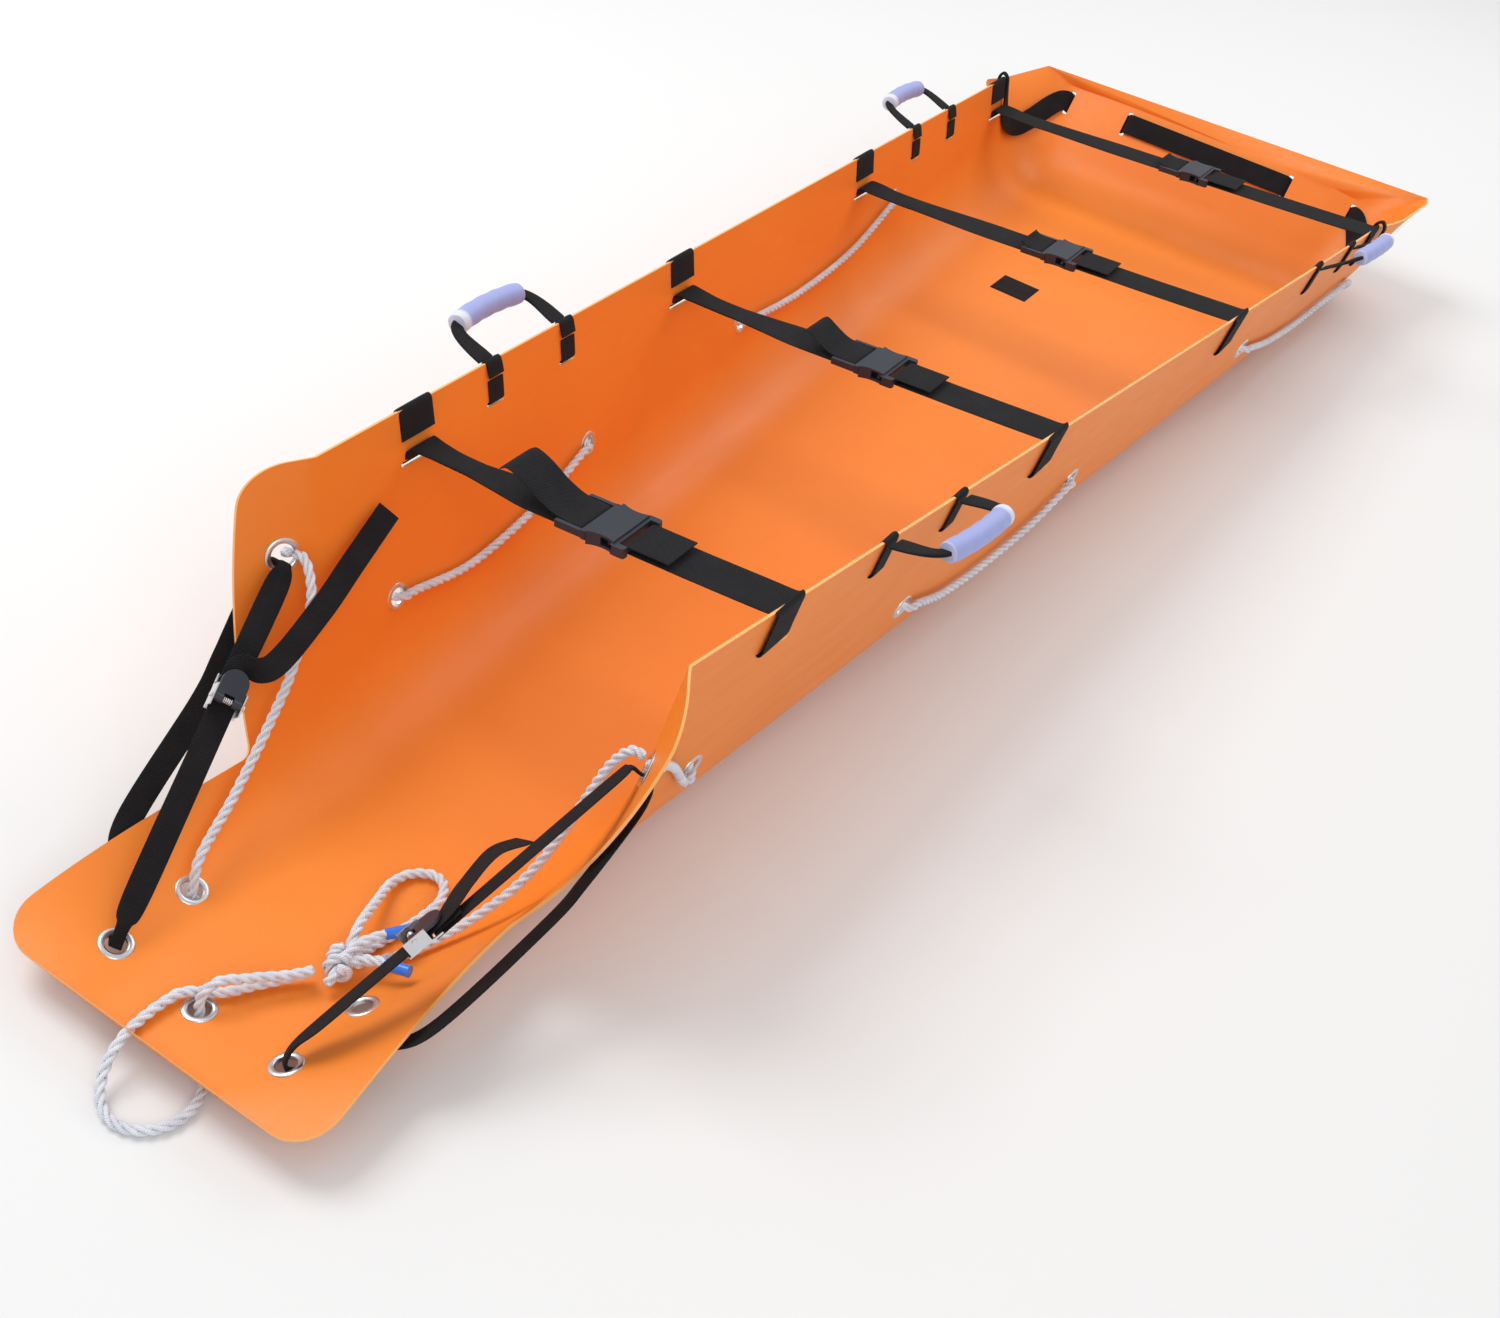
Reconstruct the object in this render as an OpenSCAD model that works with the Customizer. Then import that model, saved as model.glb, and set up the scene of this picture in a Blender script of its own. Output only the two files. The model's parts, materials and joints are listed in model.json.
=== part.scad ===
// Roll-up rescue stretcher, opened out and formed into its trough.
// +X runs from the head tongue to the foot end, +Y is the patient's left side, +Z is up.
// The origin is on the ground below the middle of the trough.

/* [Sheet] */
// Length of the sheet when it lies flat
sheet_l = 2440; // [2420:1:2460]
// Width of the sheet when it lies flat
sheet_w = 900; // [880:5:920]
// Thickness of the sheet
sheet_t = 3; // [2.5:0.5:3]
// Radius of the bend between floor and wall
bend_r = 100; // [95:1:105]
// Angle through which the walls are bent up
wall_angle = 80; // [78:1:82]
// Width of the flat floor at the first patient strap
floor_head = 182; // [176:2:188]
// Width of the flat floor at the last patient strap
floor_foot = 448; // [440:2:456]

/* [Head tongue] */
// Width of the tongue
tongue_w = 368; // [360:2:376]
// Length of the tongue, from its front edge to the notch
tongue_l = 283; // [278:1:288]
// Height that the head straps lift the tongue's front edge
tongue_lift = 26; // [24:1:30]
// Radius of the tongue's corners
tongue_corner_r = 40; // [30:5:45]

/* [Foot end] */
// Distance from the tongue's front edge to the start of the foot curl
curl_x = 2214; // [2212:1:2220]
// Radius of the foot curl
curl_r = 110; // [105:1:115]
// Angle of the foot curl in the middle
curl_angle = 56; // [54:1:58]

/* [Straps and handles] */
// Distance from the tongue's front edge to the first patient strap
strap_x0 = 577; // [570:1:584]
// Spacing of the patient straps
strap_pitch = 535; // [530:1:537]
// Width of the patient straps' webbing
webbing_w = 50; // [48:1:50]
// Width of the handle and head strap webbing
narrow_w = 25; // [22:1:25]
// Thickness of all webbing
webbing_t = 1.8; // [1.5:0.1:2]
// Length of a carry handle's grip
grip_l = 122; // [116:2:122]
// Outer diameter of a carry handle's grip
grip_d = 24; // [23:1:25]
// Distance from a handle's hinge line to the axis of its grip
handle_reach = 54; // [52:1:60]

/* [Rope] */
// Diameter of the rope
rope_d = 10; // [9:0.5:10]

/* [Hidden] */

orange = [0.95, 0.42, 0.08];
webbing_black = [0.09, 0.09, 0.11];
plastic_grey = [0.22, 0.24, 0.32];
grip_blue = [0.60, 0.62, 0.84];
steel = [0.78, 0.78, 0.80];
rope_white = [0.93, 0.94, 0.97];
tape_blue = [0.15, 0.45, 0.85];

loft_x = 427;                    // the head end's shape blends into the trough here
lift_x = 385;                    // the floor starts to rise towards the tongue here
wall_corner_x = 369;             // the wall's front edge would meet the rim here
wall_corner_r = 50;
notch_r = 15;
tongue_floor = 56;               // half width of the tongue's flat middle at its front
tongue_angle = 7.6;              // slope of the tongue's sides at its front
foot_slope = [35, 60];           // slope of the sides at the foot edge, far and near
rim_curl = [0.7, 0.25];          // share of the foot curl that reaches the rim, far and near
foot_cut_x = [2290, 2380];       // the foot corners are cut away from here, far and near
foot_half_w = [330, 420];        // half width of the foot edge, far and near
half_l = 1195;                   // from the tongue's front edge to the origin

function unit(v) = v / norm(v);
function arc_len(r, a) = r * a * PI / 180;

// Half width of the flat floor, bend angle and bend length at station x.
function trough_floor(x) =
    (floor_head + (floor_foot - floor_head) * (x - strap_x0) / (3 * strap_pitch)) / 2;
function floor_at(x) = x < loft_x
    ? tongue_floor + (trough_floor(loft_x) - tongue_floor) * x / loft_x
    : trough_floor(x);
function side_of(u) = u < 0 ? 1 : 0;
function angle_at(x, side = 0) =
    x < loft_x ? tongue_angle + (wall_angle - tongue_angle) * x / loft_x :
    x < curl_x ? wall_angle :
    wall_angle + (foot_slope[side] - wall_angle) * (x - curl_x) / (sheet_l - curl_x);
function bend_at(x, side = 0) = arc_len(bend_r, angle_at(x, side));

// Cross-section: a point u from the middle line lies at [across, up, slope].
function section(x, u) =
    let (c = floor_at(x), a = angle_at(x, side_of(u)), v = abs(u) - c, b = arc_len(bend_r, a))
    v <= 0 ? [abs(u), 0, 0] :
    v <= b ? let (p = v / bend_r * 180 / PI) [c + bend_r * sin(p), bend_r * (1 - cos(p)), p] :
    [c + bend_r * sin(a) + (v - b) * cos(a), bend_r * (1 - cos(a)) + (v - b) * sin(a), a];

// Lengthwise line at u: [along, up, tilt]. It rises at the tongue and curls up at the foot,
// where the corners curl less than the middle and so flare out.
function keel(x, u) =
    x < lift_x ? [x, tongue_lift * pow((lift_x - x) / lift_x, 1.5), 0] :
    x <= curl_x ? [x, 0, 0] :
    let (w = min(max((abs(u) - 120) / 330, 0), 1), l = arc_len(curl_r, curl_angle))
    let (a = curl_angle * (1 - (1 - rim_curl[side_of(u)]) * w * w), r = l * 180 / PI / a)
    let (p = min((x - curl_x) / l, 1) * a, q = max(x - curl_x - l, 0))
    [curl_x + r * sin(p) + q * cos(p), r * (1 - cos(p)) + q * sin(p), p];

// The point at station x, u across the sheet and n inwards from its outer face.
function spot(x, u, n = 0) =
    let (s = section(x, u), k = keel(x, u))
    let (y = s[0] - n * sin(s[2]), h = s[1] + n * cos(s[2]))
    [k[0] - h * sin(k[2]) - half_l, sign(u) * y, k[1] + h * cos(k[2])];

// Inward normal of the sheet, and a frame with X along the rim, Y outwards and Z up the wall.
function inward(x, u) = unit(spot(x, u, 1) - spot(x, u, 0));
function along_rim(x, u) = unit(spot(x + 1, u) - spot(x - 1, u));
module on_sheet(x, u) {
    e = along_rim(x, u);
    n = unit(inward(x, u) - (inward(x, u) * e) * e);
    w = cross(n, e);
    o = spot(x, u);
    multmatrix([[e[0], -n[0], w[0], o[0]], [e[1], -n[1], w[1], o[1]], [e[2], -n[2], w[2], o[2]]])
        children();
}

// Half width of the sheet's outline at station x.
edge_slope = (sheet_w - tongue_w) / 2 / (wall_corner_x - tongue_l);
edge_dir = atan(edge_slope);
function tangent(r) = r * tan(edge_dir / 2);
function half_width(x, side = 0) =
    let (t = tongue_w / 2, s = sheet_w / 2, tn = tangent(notch_r), tc = tangent(wall_corner_r))
    x < tongue_corner_r ? t - tongue_corner_r + sqrt(x * (2 * tongue_corner_r - x)) :
    x < tongue_l - tn ? t :
    x < tongue_l + tn * cos(edge_dir)
        ? t + notch_r - sqrt(pow(notch_r, 2) - pow(x - tongue_l + tn, 2)) :
    x < wall_corner_x - tc * cos(edge_dir) ? t + (x - tongue_l) * edge_slope :
    x < wall_corner_x + tc
        ? s - wall_corner_r + sqrt(pow(wall_corner_r, 2) - pow(x - wall_corner_x - tc, 2)) :
    x < foot_cut_x[side] ? s :
    s - (s - foot_half_w[side]) * pow((x - foot_cut_x[side]) / (sheet_l - foot_cut_x[side]), 1.4);

// The sheet is a loft through these stations.
bend_steps = 8;
wall_steps = 3;
stations = concat(
    [for (i = [0:6]) tongue_corner_r * (1 - cos(15 * i))],
    [for (x = [64:26:246]) x],
    [for (x = [268:7:408]) x],
    [loft_x, curl_x],
    [for (i = [1:10]) curl_x + (sheet_l - curl_x) * i / 10]);
function half_row(x, side) = let (c = floor_at(x), b = bend_at(x, side), w = half_width(x, side)) concat(
    [c / 2, c],
    [for (k = [1:bend_steps]) c + b * k / bend_steps],
    [for (k = [1:wall_steps]) c + b + (w - c - b) * k / wall_steps]);
function row(x) = let (n = half_row(x, 1), f = half_row(x, 0), m = len(f)) concat(
    [for (i = [m - 1:-1:0]) -n[i]], [0], f);

module loft_sheet() {
    m = len(row(0));
    s = len(stations);
    outer = [for (x = stations) for (u = row(x)) spot(x, u, 0)];
    inner = [for (x = stations) for (u = row(x)) spot(x, u, sheet_t)];
    q = s * m;
    skin = [for (i = [0:s - 2], j = [0:m - 2]) let (a = i * m + j, b = a + m)
        each [[a, b + 1, a + 1], [a, b, b + 1],
              [q + a, q + a + 1, q + b + 1], [q + a, q + b + 1, q + b]]];
    sides = [for (i = [0:s - 2]) let (a = i * m, b = a + m, c = a + m - 1, d = b + m - 1)
        each [[a, q + b, b], [a, q + a, q + b], [c, d, q + d], [c, q + d, q + c]]];
    ends = [for (j = [0:m - 2]) let (a = j, b = (s - 1) * m + j)
        each [[a, a + 1, q + a + 1], [a, q + a + 1, q + a],
              [b, q + b + 1, b + 1], [b, q + b, q + b + 1]]];
    polyhedron(concat(outer, inner), concat(skin, sides, ends));
}

// Places of the slots and grommets, as [station, distance across].
strap_x = [for (i = [0:3]) strap_x0 + i * strap_pitch];
slot_drop = 59;                  // patient strap slots, below the rim
slot_u = sheet_w / 2 - slot_drop;
handle_drop = 48;                // handle slots, below the rim
handle_gap = 140;                // between a handle's two slots
handle_x = [[783, 1906], [823, 2016]];   // middle of the front and rear handles, far and near
hole_r = 12.2;
front_row = [[60, 102], [60, 0], [60, -102]];
second_row = [[150, 105], [150, -105]];
head_hole_x = 385;
head_hole_u = 358;
rope_holes = [517, 888, 1267, 1767];
rope_rise = 24;                  // the rope holes' height above the end of the bend
function rope_u(x) = floor_at(x) + bend_at(x) + rope_rise;
foot_slot_x = 2400;
foot_slots = [262, 150];

module slot(length, height) {
    l = length / 2;
    h = height / 2;
    translate([0, 10, 0]) rotate([90, 0, 0]) linear_extrude(20) polygon([
        [-l, -h / 2], [-l + h / 2, -h], [l - h / 2, -h], [l, -h / 2],
        [l, h / 2], [l - h / 2, h], [-l + h / 2, h], [-l, h / 2]]);
}
module hole(r) {
    translate([0, 10, 0]) rotate([90, 23, 0]) cylinder(h = 20, r = r, $fn = 48);
}
module both_sides() {
    children();
    mirror([0, 1, 0]) children();
}

module sheet() {
    color(orange) difference() {
        loft_sheet();
        both_sides() {
            for (x = strap_x) on_sheet(x, slot_u) slot(webbing_w + 8, 6);
            for (x = rope_holes) on_sheet(x, rope_u(x)) hole(hole_r);
            on_sheet(head_hole_x, head_hole_u) hole(hole_r + 2);
            for (p = front_row) if (p[1] > 0) on_sheet(p[0], p[1]) hole(hole_r);
            for (p = second_row) if (p[1] > 0) on_sheet(p[0], p[1]) hole(hole_r);
        }
        on_sheet(front_row[1][0], 0.001) hole(hole_r);
        for (u = foot_slots, e = [-1, 1]) on_sheet(foot_slot_x, e * u) slot(42, 8);
        for (x = handle_x[0], e = [-1, 1]) on_sheet(x + e * handle_gap / 2, sheet_w / 2 - handle_drop)
            slot(narrow_w + 6, 6);
        for (x = handle_x[1], e = [-1, 1]) mirror([0, 1, 0])
            on_sheet(x + e * handle_gap / 2, sheet_w / 2 - handle_drop) slot(narrow_w + 6, 6);
    }
}

// Two-part eyelet: a barrel through the sheet and a domed flange on each face.
flange_h = 1.4;
module eyelet(bore_r) {
    wall = hole_r - 10 - 0.2;
    flange = 6;
    function dome(a, base, up) =
        [bore_r + flange / 2 - flange / 2 * cos(a), base + up * flange_h * sin(a)];
    rotate([90, 0, 0]) rotate_extrude($fn = 48) polygon(concat(
        [for (a = [0:20:180]) dome(a, sheet_t, 1)],
        [[bore_r + wall, sheet_t], [bore_r + wall, 0]],
        [for (a = [180:-20:0]) dome(a, 0, -1)]));
}
module tongue_grommets() {
    color(steel) {
        both_sides() on_sheet(front_row[0][0], front_row[0][1]) eyelet(10);
        on_sheet(second_row[0][0], second_row[0][1]) eyelet(10);
        on_sheet(front_row[1][0], 0.001) eyelet(10);
    }
}
module open_grommet() {
    color(steel) on_sheet(second_row[1][0], second_row[1][1]) eyelet(10);
}
module wall_grommets() {
    color(steel) both_sides() {
        for (x = rope_holes) on_sheet(x, rope_u(x)) eyelet(10);
        on_sheet(head_hole_x, head_hole_u) eyelet(12);
    }
}

// A tube of radius r along points p, with the rings kept from twisting.
function ahead(p, i) = unit(p[min(i + 1, len(p) - 1)] - p[max(i - 1, 0)]);
function carry(f, t) = unit(f - (f * t) * t);
function frames(p, i = 0, f = [0, 0, 1]) = i == len(p) ? [] :
    let (t = ahead(p, i), g = norm(cross(f, t)) < 0.2 ? carry(f + [0.5, 0.3, 0], t) : carry(f, t))
    concat([[g, cross(t, g)]], frames(p, i + 1, g));
module tube(p, r, sides = 8) {
    f = frames(p);
    m = len(p);
    pts = [for (i = [0:m - 1]) for (k = [0:sides - 1])
        p[i] + r * (cos(360 * k / sides) * f[i][0] + sin(360 * k / sides) * f[i][1])];
    skin = [for (i = [0:m - 2], k = [0:sides - 1])
        let (a = i * sides + k, b = i * sides + (k + 1) % sides, c = a + sides, d = b + sides)
        each [[a, d, b], [a, c, d]]];
    e = (m - 1) * sides;
    caps = [for (k = [1:sides - 2]) each [[0, k, k + 1], [e, e + k + 1, e + k]]];
    polyhedron(pts, concat(skin, caps));
}

// A flat band along stops of [point, direction across the band, width].
module ribbon(stops, thick) {
    m = len(stops);
    p = [for (s = stops) s[0]];
    corners = [for (i = [0:m - 1])
        let (t = ahead(p, i), w = carry(stops[i][1], t), n = cross(t, w))
        each [for (c = [[-1, -1], [1, -1], [1, 1], [-1, 1]])
            p[i] + c[0] * stops[i][2] / 2 * w + c[1] * thick / 2 * n]];
    skin = [for (i = [0:m - 2], k = [0:3])
        let (a = 4 * i + k, b = 4 * i + (k + 1) % 4)
        each [[a, b + 4, b], [a, a + 4, b + 4]]];
    e = 4 * (m - 1);
    polyhedron(corners, concat(skin, [[0, 1, 2], [0, 2, 3], [e, e + 2, e + 1], [e, e + 3, e + 2]]));
}

// Rope. A side's run weaves in and out through the wall: stops are [station, across, inwards].
rope_out = -(rope_d / 2 + flange_h + 1.2);
rope_in = sheet_t - rope_out;
function pierce(x, dir) = let (u = rope_u(x), m = sheet_t / 2, g = dir * (rope_in - m))
    [[x - 22, u, m - g], [x - 9, u, m - g], [x, u, m], [x + 9, u, m + g], [x + 22, u, m + g]];
head_rope_x = head_hole_x + 5.2;
function side_run() = concat(
    [[head_rope_x, head_hole_u, 9], [head_rope_x, head_hole_u, -2],
     [head_rope_x + 4, head_hole_u - 2, -9], [head_rope_x + 18, head_hole_u - 12, -9],
     [460, 296, -8]],
    pierce(rope_holes[0], 1),
    [[640, 236, rope_in], [770, 252, rope_in]],
    pierce(rope_holes[1], -1),
    [[980, 262, rope_out], [1077, 262, rope_out], [1174, 280, rope_out]],
    pierce(rope_holes[2], 1),
    [[1430, 306, rope_in], [1600, 318, rope_in]],
    pierce(rope_holes[3], -1),
    [[1870, 338, rope_out], [1980, 332, rope_out], [2090, 342, rope_out], [2190, 352, rope_out],
     [2225, 340, rope_out], [2255, 312, rope_out], [2280, 270, rope_out], [2294, 220, rope_out],
     [2300, 150, rope_out], [2302, 70, rope_out]]);
module side_rope() {
    run = side_run();
    far = [for (s = run) spot(s[0], s[1], s[2])];
    near = [for (i = [len(run) - 1:-1:0]) spot(run[i][0], -run[i][1], run[i][2])];
    color(rope_white) tube(concat(far, near), rope_d / 2);
}

// The free rope at the head lies along these points, in this frame.
far_head_route = [
    [-804, 204, 222], [-804, 197, 224], [-807, 187, 218], [-813, 177, 203], [-822, 170, 184],
    [-834, 166, 164], [-848, 163, 144], [-866, 158, 124], [-890, 152, 105], [-916, 145, 88],
    [-943, 138, 72], [-970, 130, 60], [-996, 122, 53], [-1018, 114, 49], [-1033, 108, 42],
    [-1042, 103, 31], [-1045, 103, 20]];
near_head_route = [
    [-804, -204, 222], [-804, -197, 224], [-806, -187, 216], [-811, -176, 196], [-819, -167, 167],
    [-829, -158, 134], [-842, -150, 100], [-858, -142, 76], [-878, -133, 56], [-900, -122, 40],
    [-923, -112, 28], [-946, -102, 21], [-968, -93, 19], [-988, -84, 21], [-1006, -75, 25]];
bridle_route = [
    [-1054, -40, 25], [-1070, -30, 24], [-1090, -18, 26], [-1112, -6, 29], [-1134, 18, 31],
    [-1156, 22, 33], [-1176, 22, 34], [-1196, 21, 33], [-1216, 18, 25], [-1233, 11, 15],
    [-1246, -3, 8], [-1250, -22, 5], [-1243, -42, 5], [-1226, -56, 5], [-1204, -60, 5],
    [-1182, -52, 5], [-1166, -36, 5], [-1153, -14, 6], [-1142, -5, 8], [-1136, -1, 15],
    [-1135, 0, 24], [-1134, 0, 34], [-1127, -2, 44], [-1115, -7, 48], [-1101, -15, 43], [-1086, -24, 39],
    [-1068, -38, 36], [-1054, -46, 34]];
bow_route = [
    [-1006, -52, 32], [-988, -46, 36], [-966, -38, 31], [-943, -30, 24], [-918, -22, 17],
    [-894, -24, 12], [-880, -40, 12], [-884, -58, 15], [-902, -70, 16], [-926, -70, 15],
    [-950, -66, 14], [-974, -62, 15], [-993, -60, 18], [-1006, -60, 22]];
end_a_route = [
    [-1012, -74, 35], [-1009, -80, 36], [-1007, -85, 37], [-1006, -91, 38]];
end_b_route = [
    [-1004, -64, 42], [-999, -66, 43], [-993, -69, 43], [-985, -73, 43]];
knot_at = [-1030, -62, 32];
tape_l = 26;
module far_head_rope() {
    color(rope_white) tube(far_head_route, rope_d / 2);
}
module near_head_rope() {
    color(rope_white) tube(near_head_route, rope_d / 2);
}
module bridle_rope() {
    color(rope_white) tube(bridle_route, rope_d / 2);
}
module bow_loop() {
    color(rope_white) tube(bow_route, rope_d / 2);
}
module rope_end_a() {
    color(rope_white) tube(end_a_route, rope_d / 2);
}
module rope_end_b() {
    color(rope_white) tube(end_b_route, rope_d / 2);
}
// Blue tape bound round the last stretch of each rope end.
module tape(route) {
    m = len(route);
    d = unit(route[m - 1] - route[m - 2]);
    translate(route[m - 1]) multmatrix(look_along(d))
        translate([0, 0, 0.2]) cylinder(h = tape_l, r = rope_d / 2 + 0.6, $fn = 32);
}
function look_along(d) = let (x = unit(cross([0, 0, 1], d)), y = cross(d, x))
    [[x[0], y[0], d[0], 0], [x[1], y[1], d[1], 0], [x[2], y[2], d[2], 0]];
module rope_tape_a() {
    color(tape_blue) tape(end_a_route);
}
module rope_tape_b() {
    color(tape_blue) tape(end_b_route);
}
// The knot that ties the two ends of the rope: three turns round a core.
module head_knot() {
    color(rope_white) translate(knot_at) rotate([0, 0, 35]) rotate([0, 90, 0]) {
        for (z = [-12, 0, 12]) translate([0, 0, z]) rotate_extrude($fn = 32)
            translate([8.5, 0]) circle(d = 12, $fn = 24);
        translate([0, 0, -17]) cylinder(h = 34, r = 9, $fn = 32);
    }
}
// Stopper knot under the tongue, on the end of the far head rope.
module rope_stop() {
    color(rope_white) translate([-1045, 103, 10]) sphere(r = 8.5, $fn = 32);
}

// Patient straps. The far half is looped round the rim and runs down to its slot; the
// near half is sewn round the socket's bar and looped over the near rim.
gap = 0.4;                       // between webbing and the sheet that it wraps
module rim_loop(width, drop) {
    t = webbing_t;
    inside = [sheet_t + 2 * gap, drop];
    rotate([90, 0, 90]) translate([0, 0, -width / 2]) linear_extrude(width) difference() {
        translate([-sheet_t - gap - t, gap - drop - t]) square(inside + [2 * t, 2 * t]);
        translate([-sheet_t - gap, gap - drop]) square(inside);
    }
}
function strap_ends(i) = let (x = strap_x[i], h = sheet_w / 2)
    [spot(x, h - 44, 5), [spot(x, h - 1, 5)[0], -spot(x, h - 1, 5)[1], spot(x, h - 1, 5)[2]]];
// Frame of strap i: origin at the buckle, Y along the strap towards the far side.
buckle_share = 0.53;             // how far along the strap the buckle sits, from the far end
module along_strap(i) {
    e = strap_ends(i);
    translate(e[0] + (e[1] - e[0]) * buckle_share)
        rotate([atan2(e[0][2] - e[1][2], e[0][1] - e[1][1]), 0, 0]) children();
}
function strap_run(i) = let (e = strap_ends(i)) norm(e[1] - e[0]);
plug_l = 38;
socket_l = 46;
plug_bar_y = 14;
tail_l = [112, 86, 40, 40];
module strap_far_webbing(i) {
    t = webbing_t;
    w = webbing_w;
    far_y = strap_run(i) * buckle_share;
    color(webbing_black) {
        on_sheet(strap_x[i], sheet_w / 2) rim_loop(w, slot_drop);
        along_strap(i) {
            translate([-w / 2, plug_bar_y - 5, -4.2]) cube([w, far_y - plug_bar_y + 5, t]);
            translate([-w / 2, plug_bar_y - 5, -4.2]) cube([w, t, 8.4]);
            translate([-w / 2, plug_bar_y - 5, 4.2 - t]) cube([w, tail_l[i] - plug_bar_y, t]);
        }
    }
}
module strap_near_webbing(i) {
    t = webbing_t;
    w = webbing_w;
    near_y = strap_run(i) * (1 - buckle_share);
    color(webbing_black) {
        mirror([0, 1, 0]) on_sheet(strap_x[i], sheet_w / 2) rim_loop(w, slot_drop);
        along_strap(i) {
            translate([-w / 2, -near_y + 0.7, -4.2]) cube([w, near_y - socket_l + 6.3, t]);
            translate([-w / 2, -socket_l + 7 - t, -4.2]) cube([w, t, 8.4]);
            translate([-w / 2, -socket_l - 48, 4.2 - t]) cube([w, 55, t]);
            translate([-w / 2, -socket_l - 48 - t, -4.2]) cube([w, t, 8.4]);
        }
    }
}

// Side-release buckle. The plug's ladder holds the far webbing; its two prongs and guide
// run into the socket, which slides off towards the near side.
buckle_w = 62;
buckle_h = 15;
prong_l = 30;
cavity_w = 50;
cavity_h = 9.4;
module rounded_plate(size, r) {
    linear_extrude(size[2], center = true) hull() for (x = [-1, 1], y = [0, 1])
        translate([x * (size[0] / 2 - r), r + y * (size[1] - 2 * r)]) circle(r, $fn = 24);
}
module strap_plug(i) {
    w = buckle_w - 2;
    color(plastic_grey) along_strap(i) {
        // ladder: two rails, a webbing bar and an end bar between the webbing's layers
        for (e = [-1, 1]) translate([e * (w / 2 - 2.1), plug_l / 2 + 1, 0])
            cube([4.2, plug_l - 2, 8], center = true);
        translate([-w / 2 + 1, plug_bar_y + 0.3, -1.6]) cube([w - 2, 6, 3.2]);
        translate([-w / 2 + 1, plug_l - 5, -1.6]) cube([w - 2, 5, 3.2]);
        // head of the plug, ahead of the webbing
        translate([-w / 2, 1.2, -5]) cube([w, 5.6, 10]);
        // prongs with thickened tips, and the middle guide
        for (e = [-1, 1]) {
            translate([e * 18 - 2.5, -prong_l + 4, -3.6]) cube([5, prong_l, 7.2]);
            translate([e * 20.4, -prong_l + 6, 0]) rotate([0, 0, 45])
                intersection() {
                    cube([8, 8, 7.2], center = true);
                    rotate([0, 0, -45]) translate([-4, -6, -3.6]) cube([8, 12, 7.2]);
                }
        }
        translate([-4, -22, -3.6]) cube([8, 26, 7.2]);
    }
}
module strap_socket(i) {
    bar = 5;
    color(plastic_grey) along_strap(i) difference() {
        union() {
            linear_extrude(buckle_h, center = true) difference() {
                translate([-buckle_w / 2, -socket_l + 14]) square([buckle_w, socket_l - 14]);
                for (e = [-1, 1]) translate([e * (buckle_w / 2 + 34), -18]) circle(38, $fn = 96);
            }
            translate([0, -socket_l, 0]) rounded_plate([buckle_w + 4, 17, 11], 3);
        }
        // cavity for the prongs, open at the mouth
        translate([-cavity_w / 2, -prong_l - 2, -cavity_h / 2]) cube([cavity_w, prong_l + 3, cavity_h]);
        // window for the webbing, ahead of its bar
        translate([-webbing_w / 2 - 1, -socket_l + bar, -10]) cube([webbing_w + 2, 5, 20]);
        // side windows where the prongs are pressed
        for (e = [-1, 1]) translate([e * buckle_w / 2 - 6, -prong_l - 2, -cavity_h / 2])
            cube([12, 17, cavity_h]);
        // relief so that the webbing clears the bar's faces
        for (z = [-1, 1]) translate([-webbing_w / 2 - 1, -socket_l - 1, z * 4.6 - 3])
            cube([webbing_w + 2, bar + 2, 6]);
    }
}

// Carry handles. Each leg is a loop round the rim, through a slot; the loop of webbing and
// its grip swing about the line where the legs leave the rim.
hinge = [5.4, -2];               // the swing axis, outwards and up from the rim
handle_rest = [[120, 120], [114, 137]];  // angle up from hanging down the wall, far and near
module at_handle(x) {
    on_sheet(x, sheet_w / 2) children();
}
module handle_anchor(side, x) {
    color(webbing_black) mirror([0, side, 0])
        for (e = [-1, 1]) on_sheet(x + e * handle_gap / 2, sheet_w / 2)
            rim_loop(narrow_w, handle_drop);
}
// In the loop's own frame X is the swing axis and Y points to the grip.
module in_handle(side, x, rest) {
    mirror([0, side, 0]) at_handle(x) translate([0, hinge[0], hinge[1]])
        rotate([rest - 90, 0, 0]) children();
}
module handle_webbing(side, x, rest) {
    w = narrow_w;
    t = 3;
    band = 12;
    half = handle_gap / 2;
    color(webbing_black) in_handle(side, x, rest) {
        for (e = [-1, 1]) translate([e * half - w / 2, 0, 0]) rotate([0, 90, 0])
            cylinder(h = w, r = 1.2, $fn = 24);
        translate([0, 0, -t / 2]) linear_extrude(t) {
            translate([-half - band / 2, handle_reach - band / 2]) square([handle_gap + band, band]);
            for (e = [-1, 1]) polygon([
                [e * half - w / 2, 5], [e * half + w / 2, 5],
                [e * half + band / 2, handle_reach], [e * half - band / 2, handle_reach]]);
        }
        for (e = [-1, 1]) translate([e * half - w / 2, 0, -1.2]) cube([w, 6, 2.4]);
    }
}
module handle_grip(side, x, rest) {
    color(grip_blue) in_handle(side, x, rest) translate([-grip_l / 2, handle_reach, 0])
        rotate([90, 0, 90]) rotate_extrude($fn = 48) difference() {
            union() {
                translate([0, 2]) square([grip_d / 2, grip_l - 4]);
                square([grip_d / 2 - 1.5, grip_l]);
            }
            translate([-1, -1]) square([grip_d / 2 - 3, grip_l + 2]);
        }
}

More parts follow.
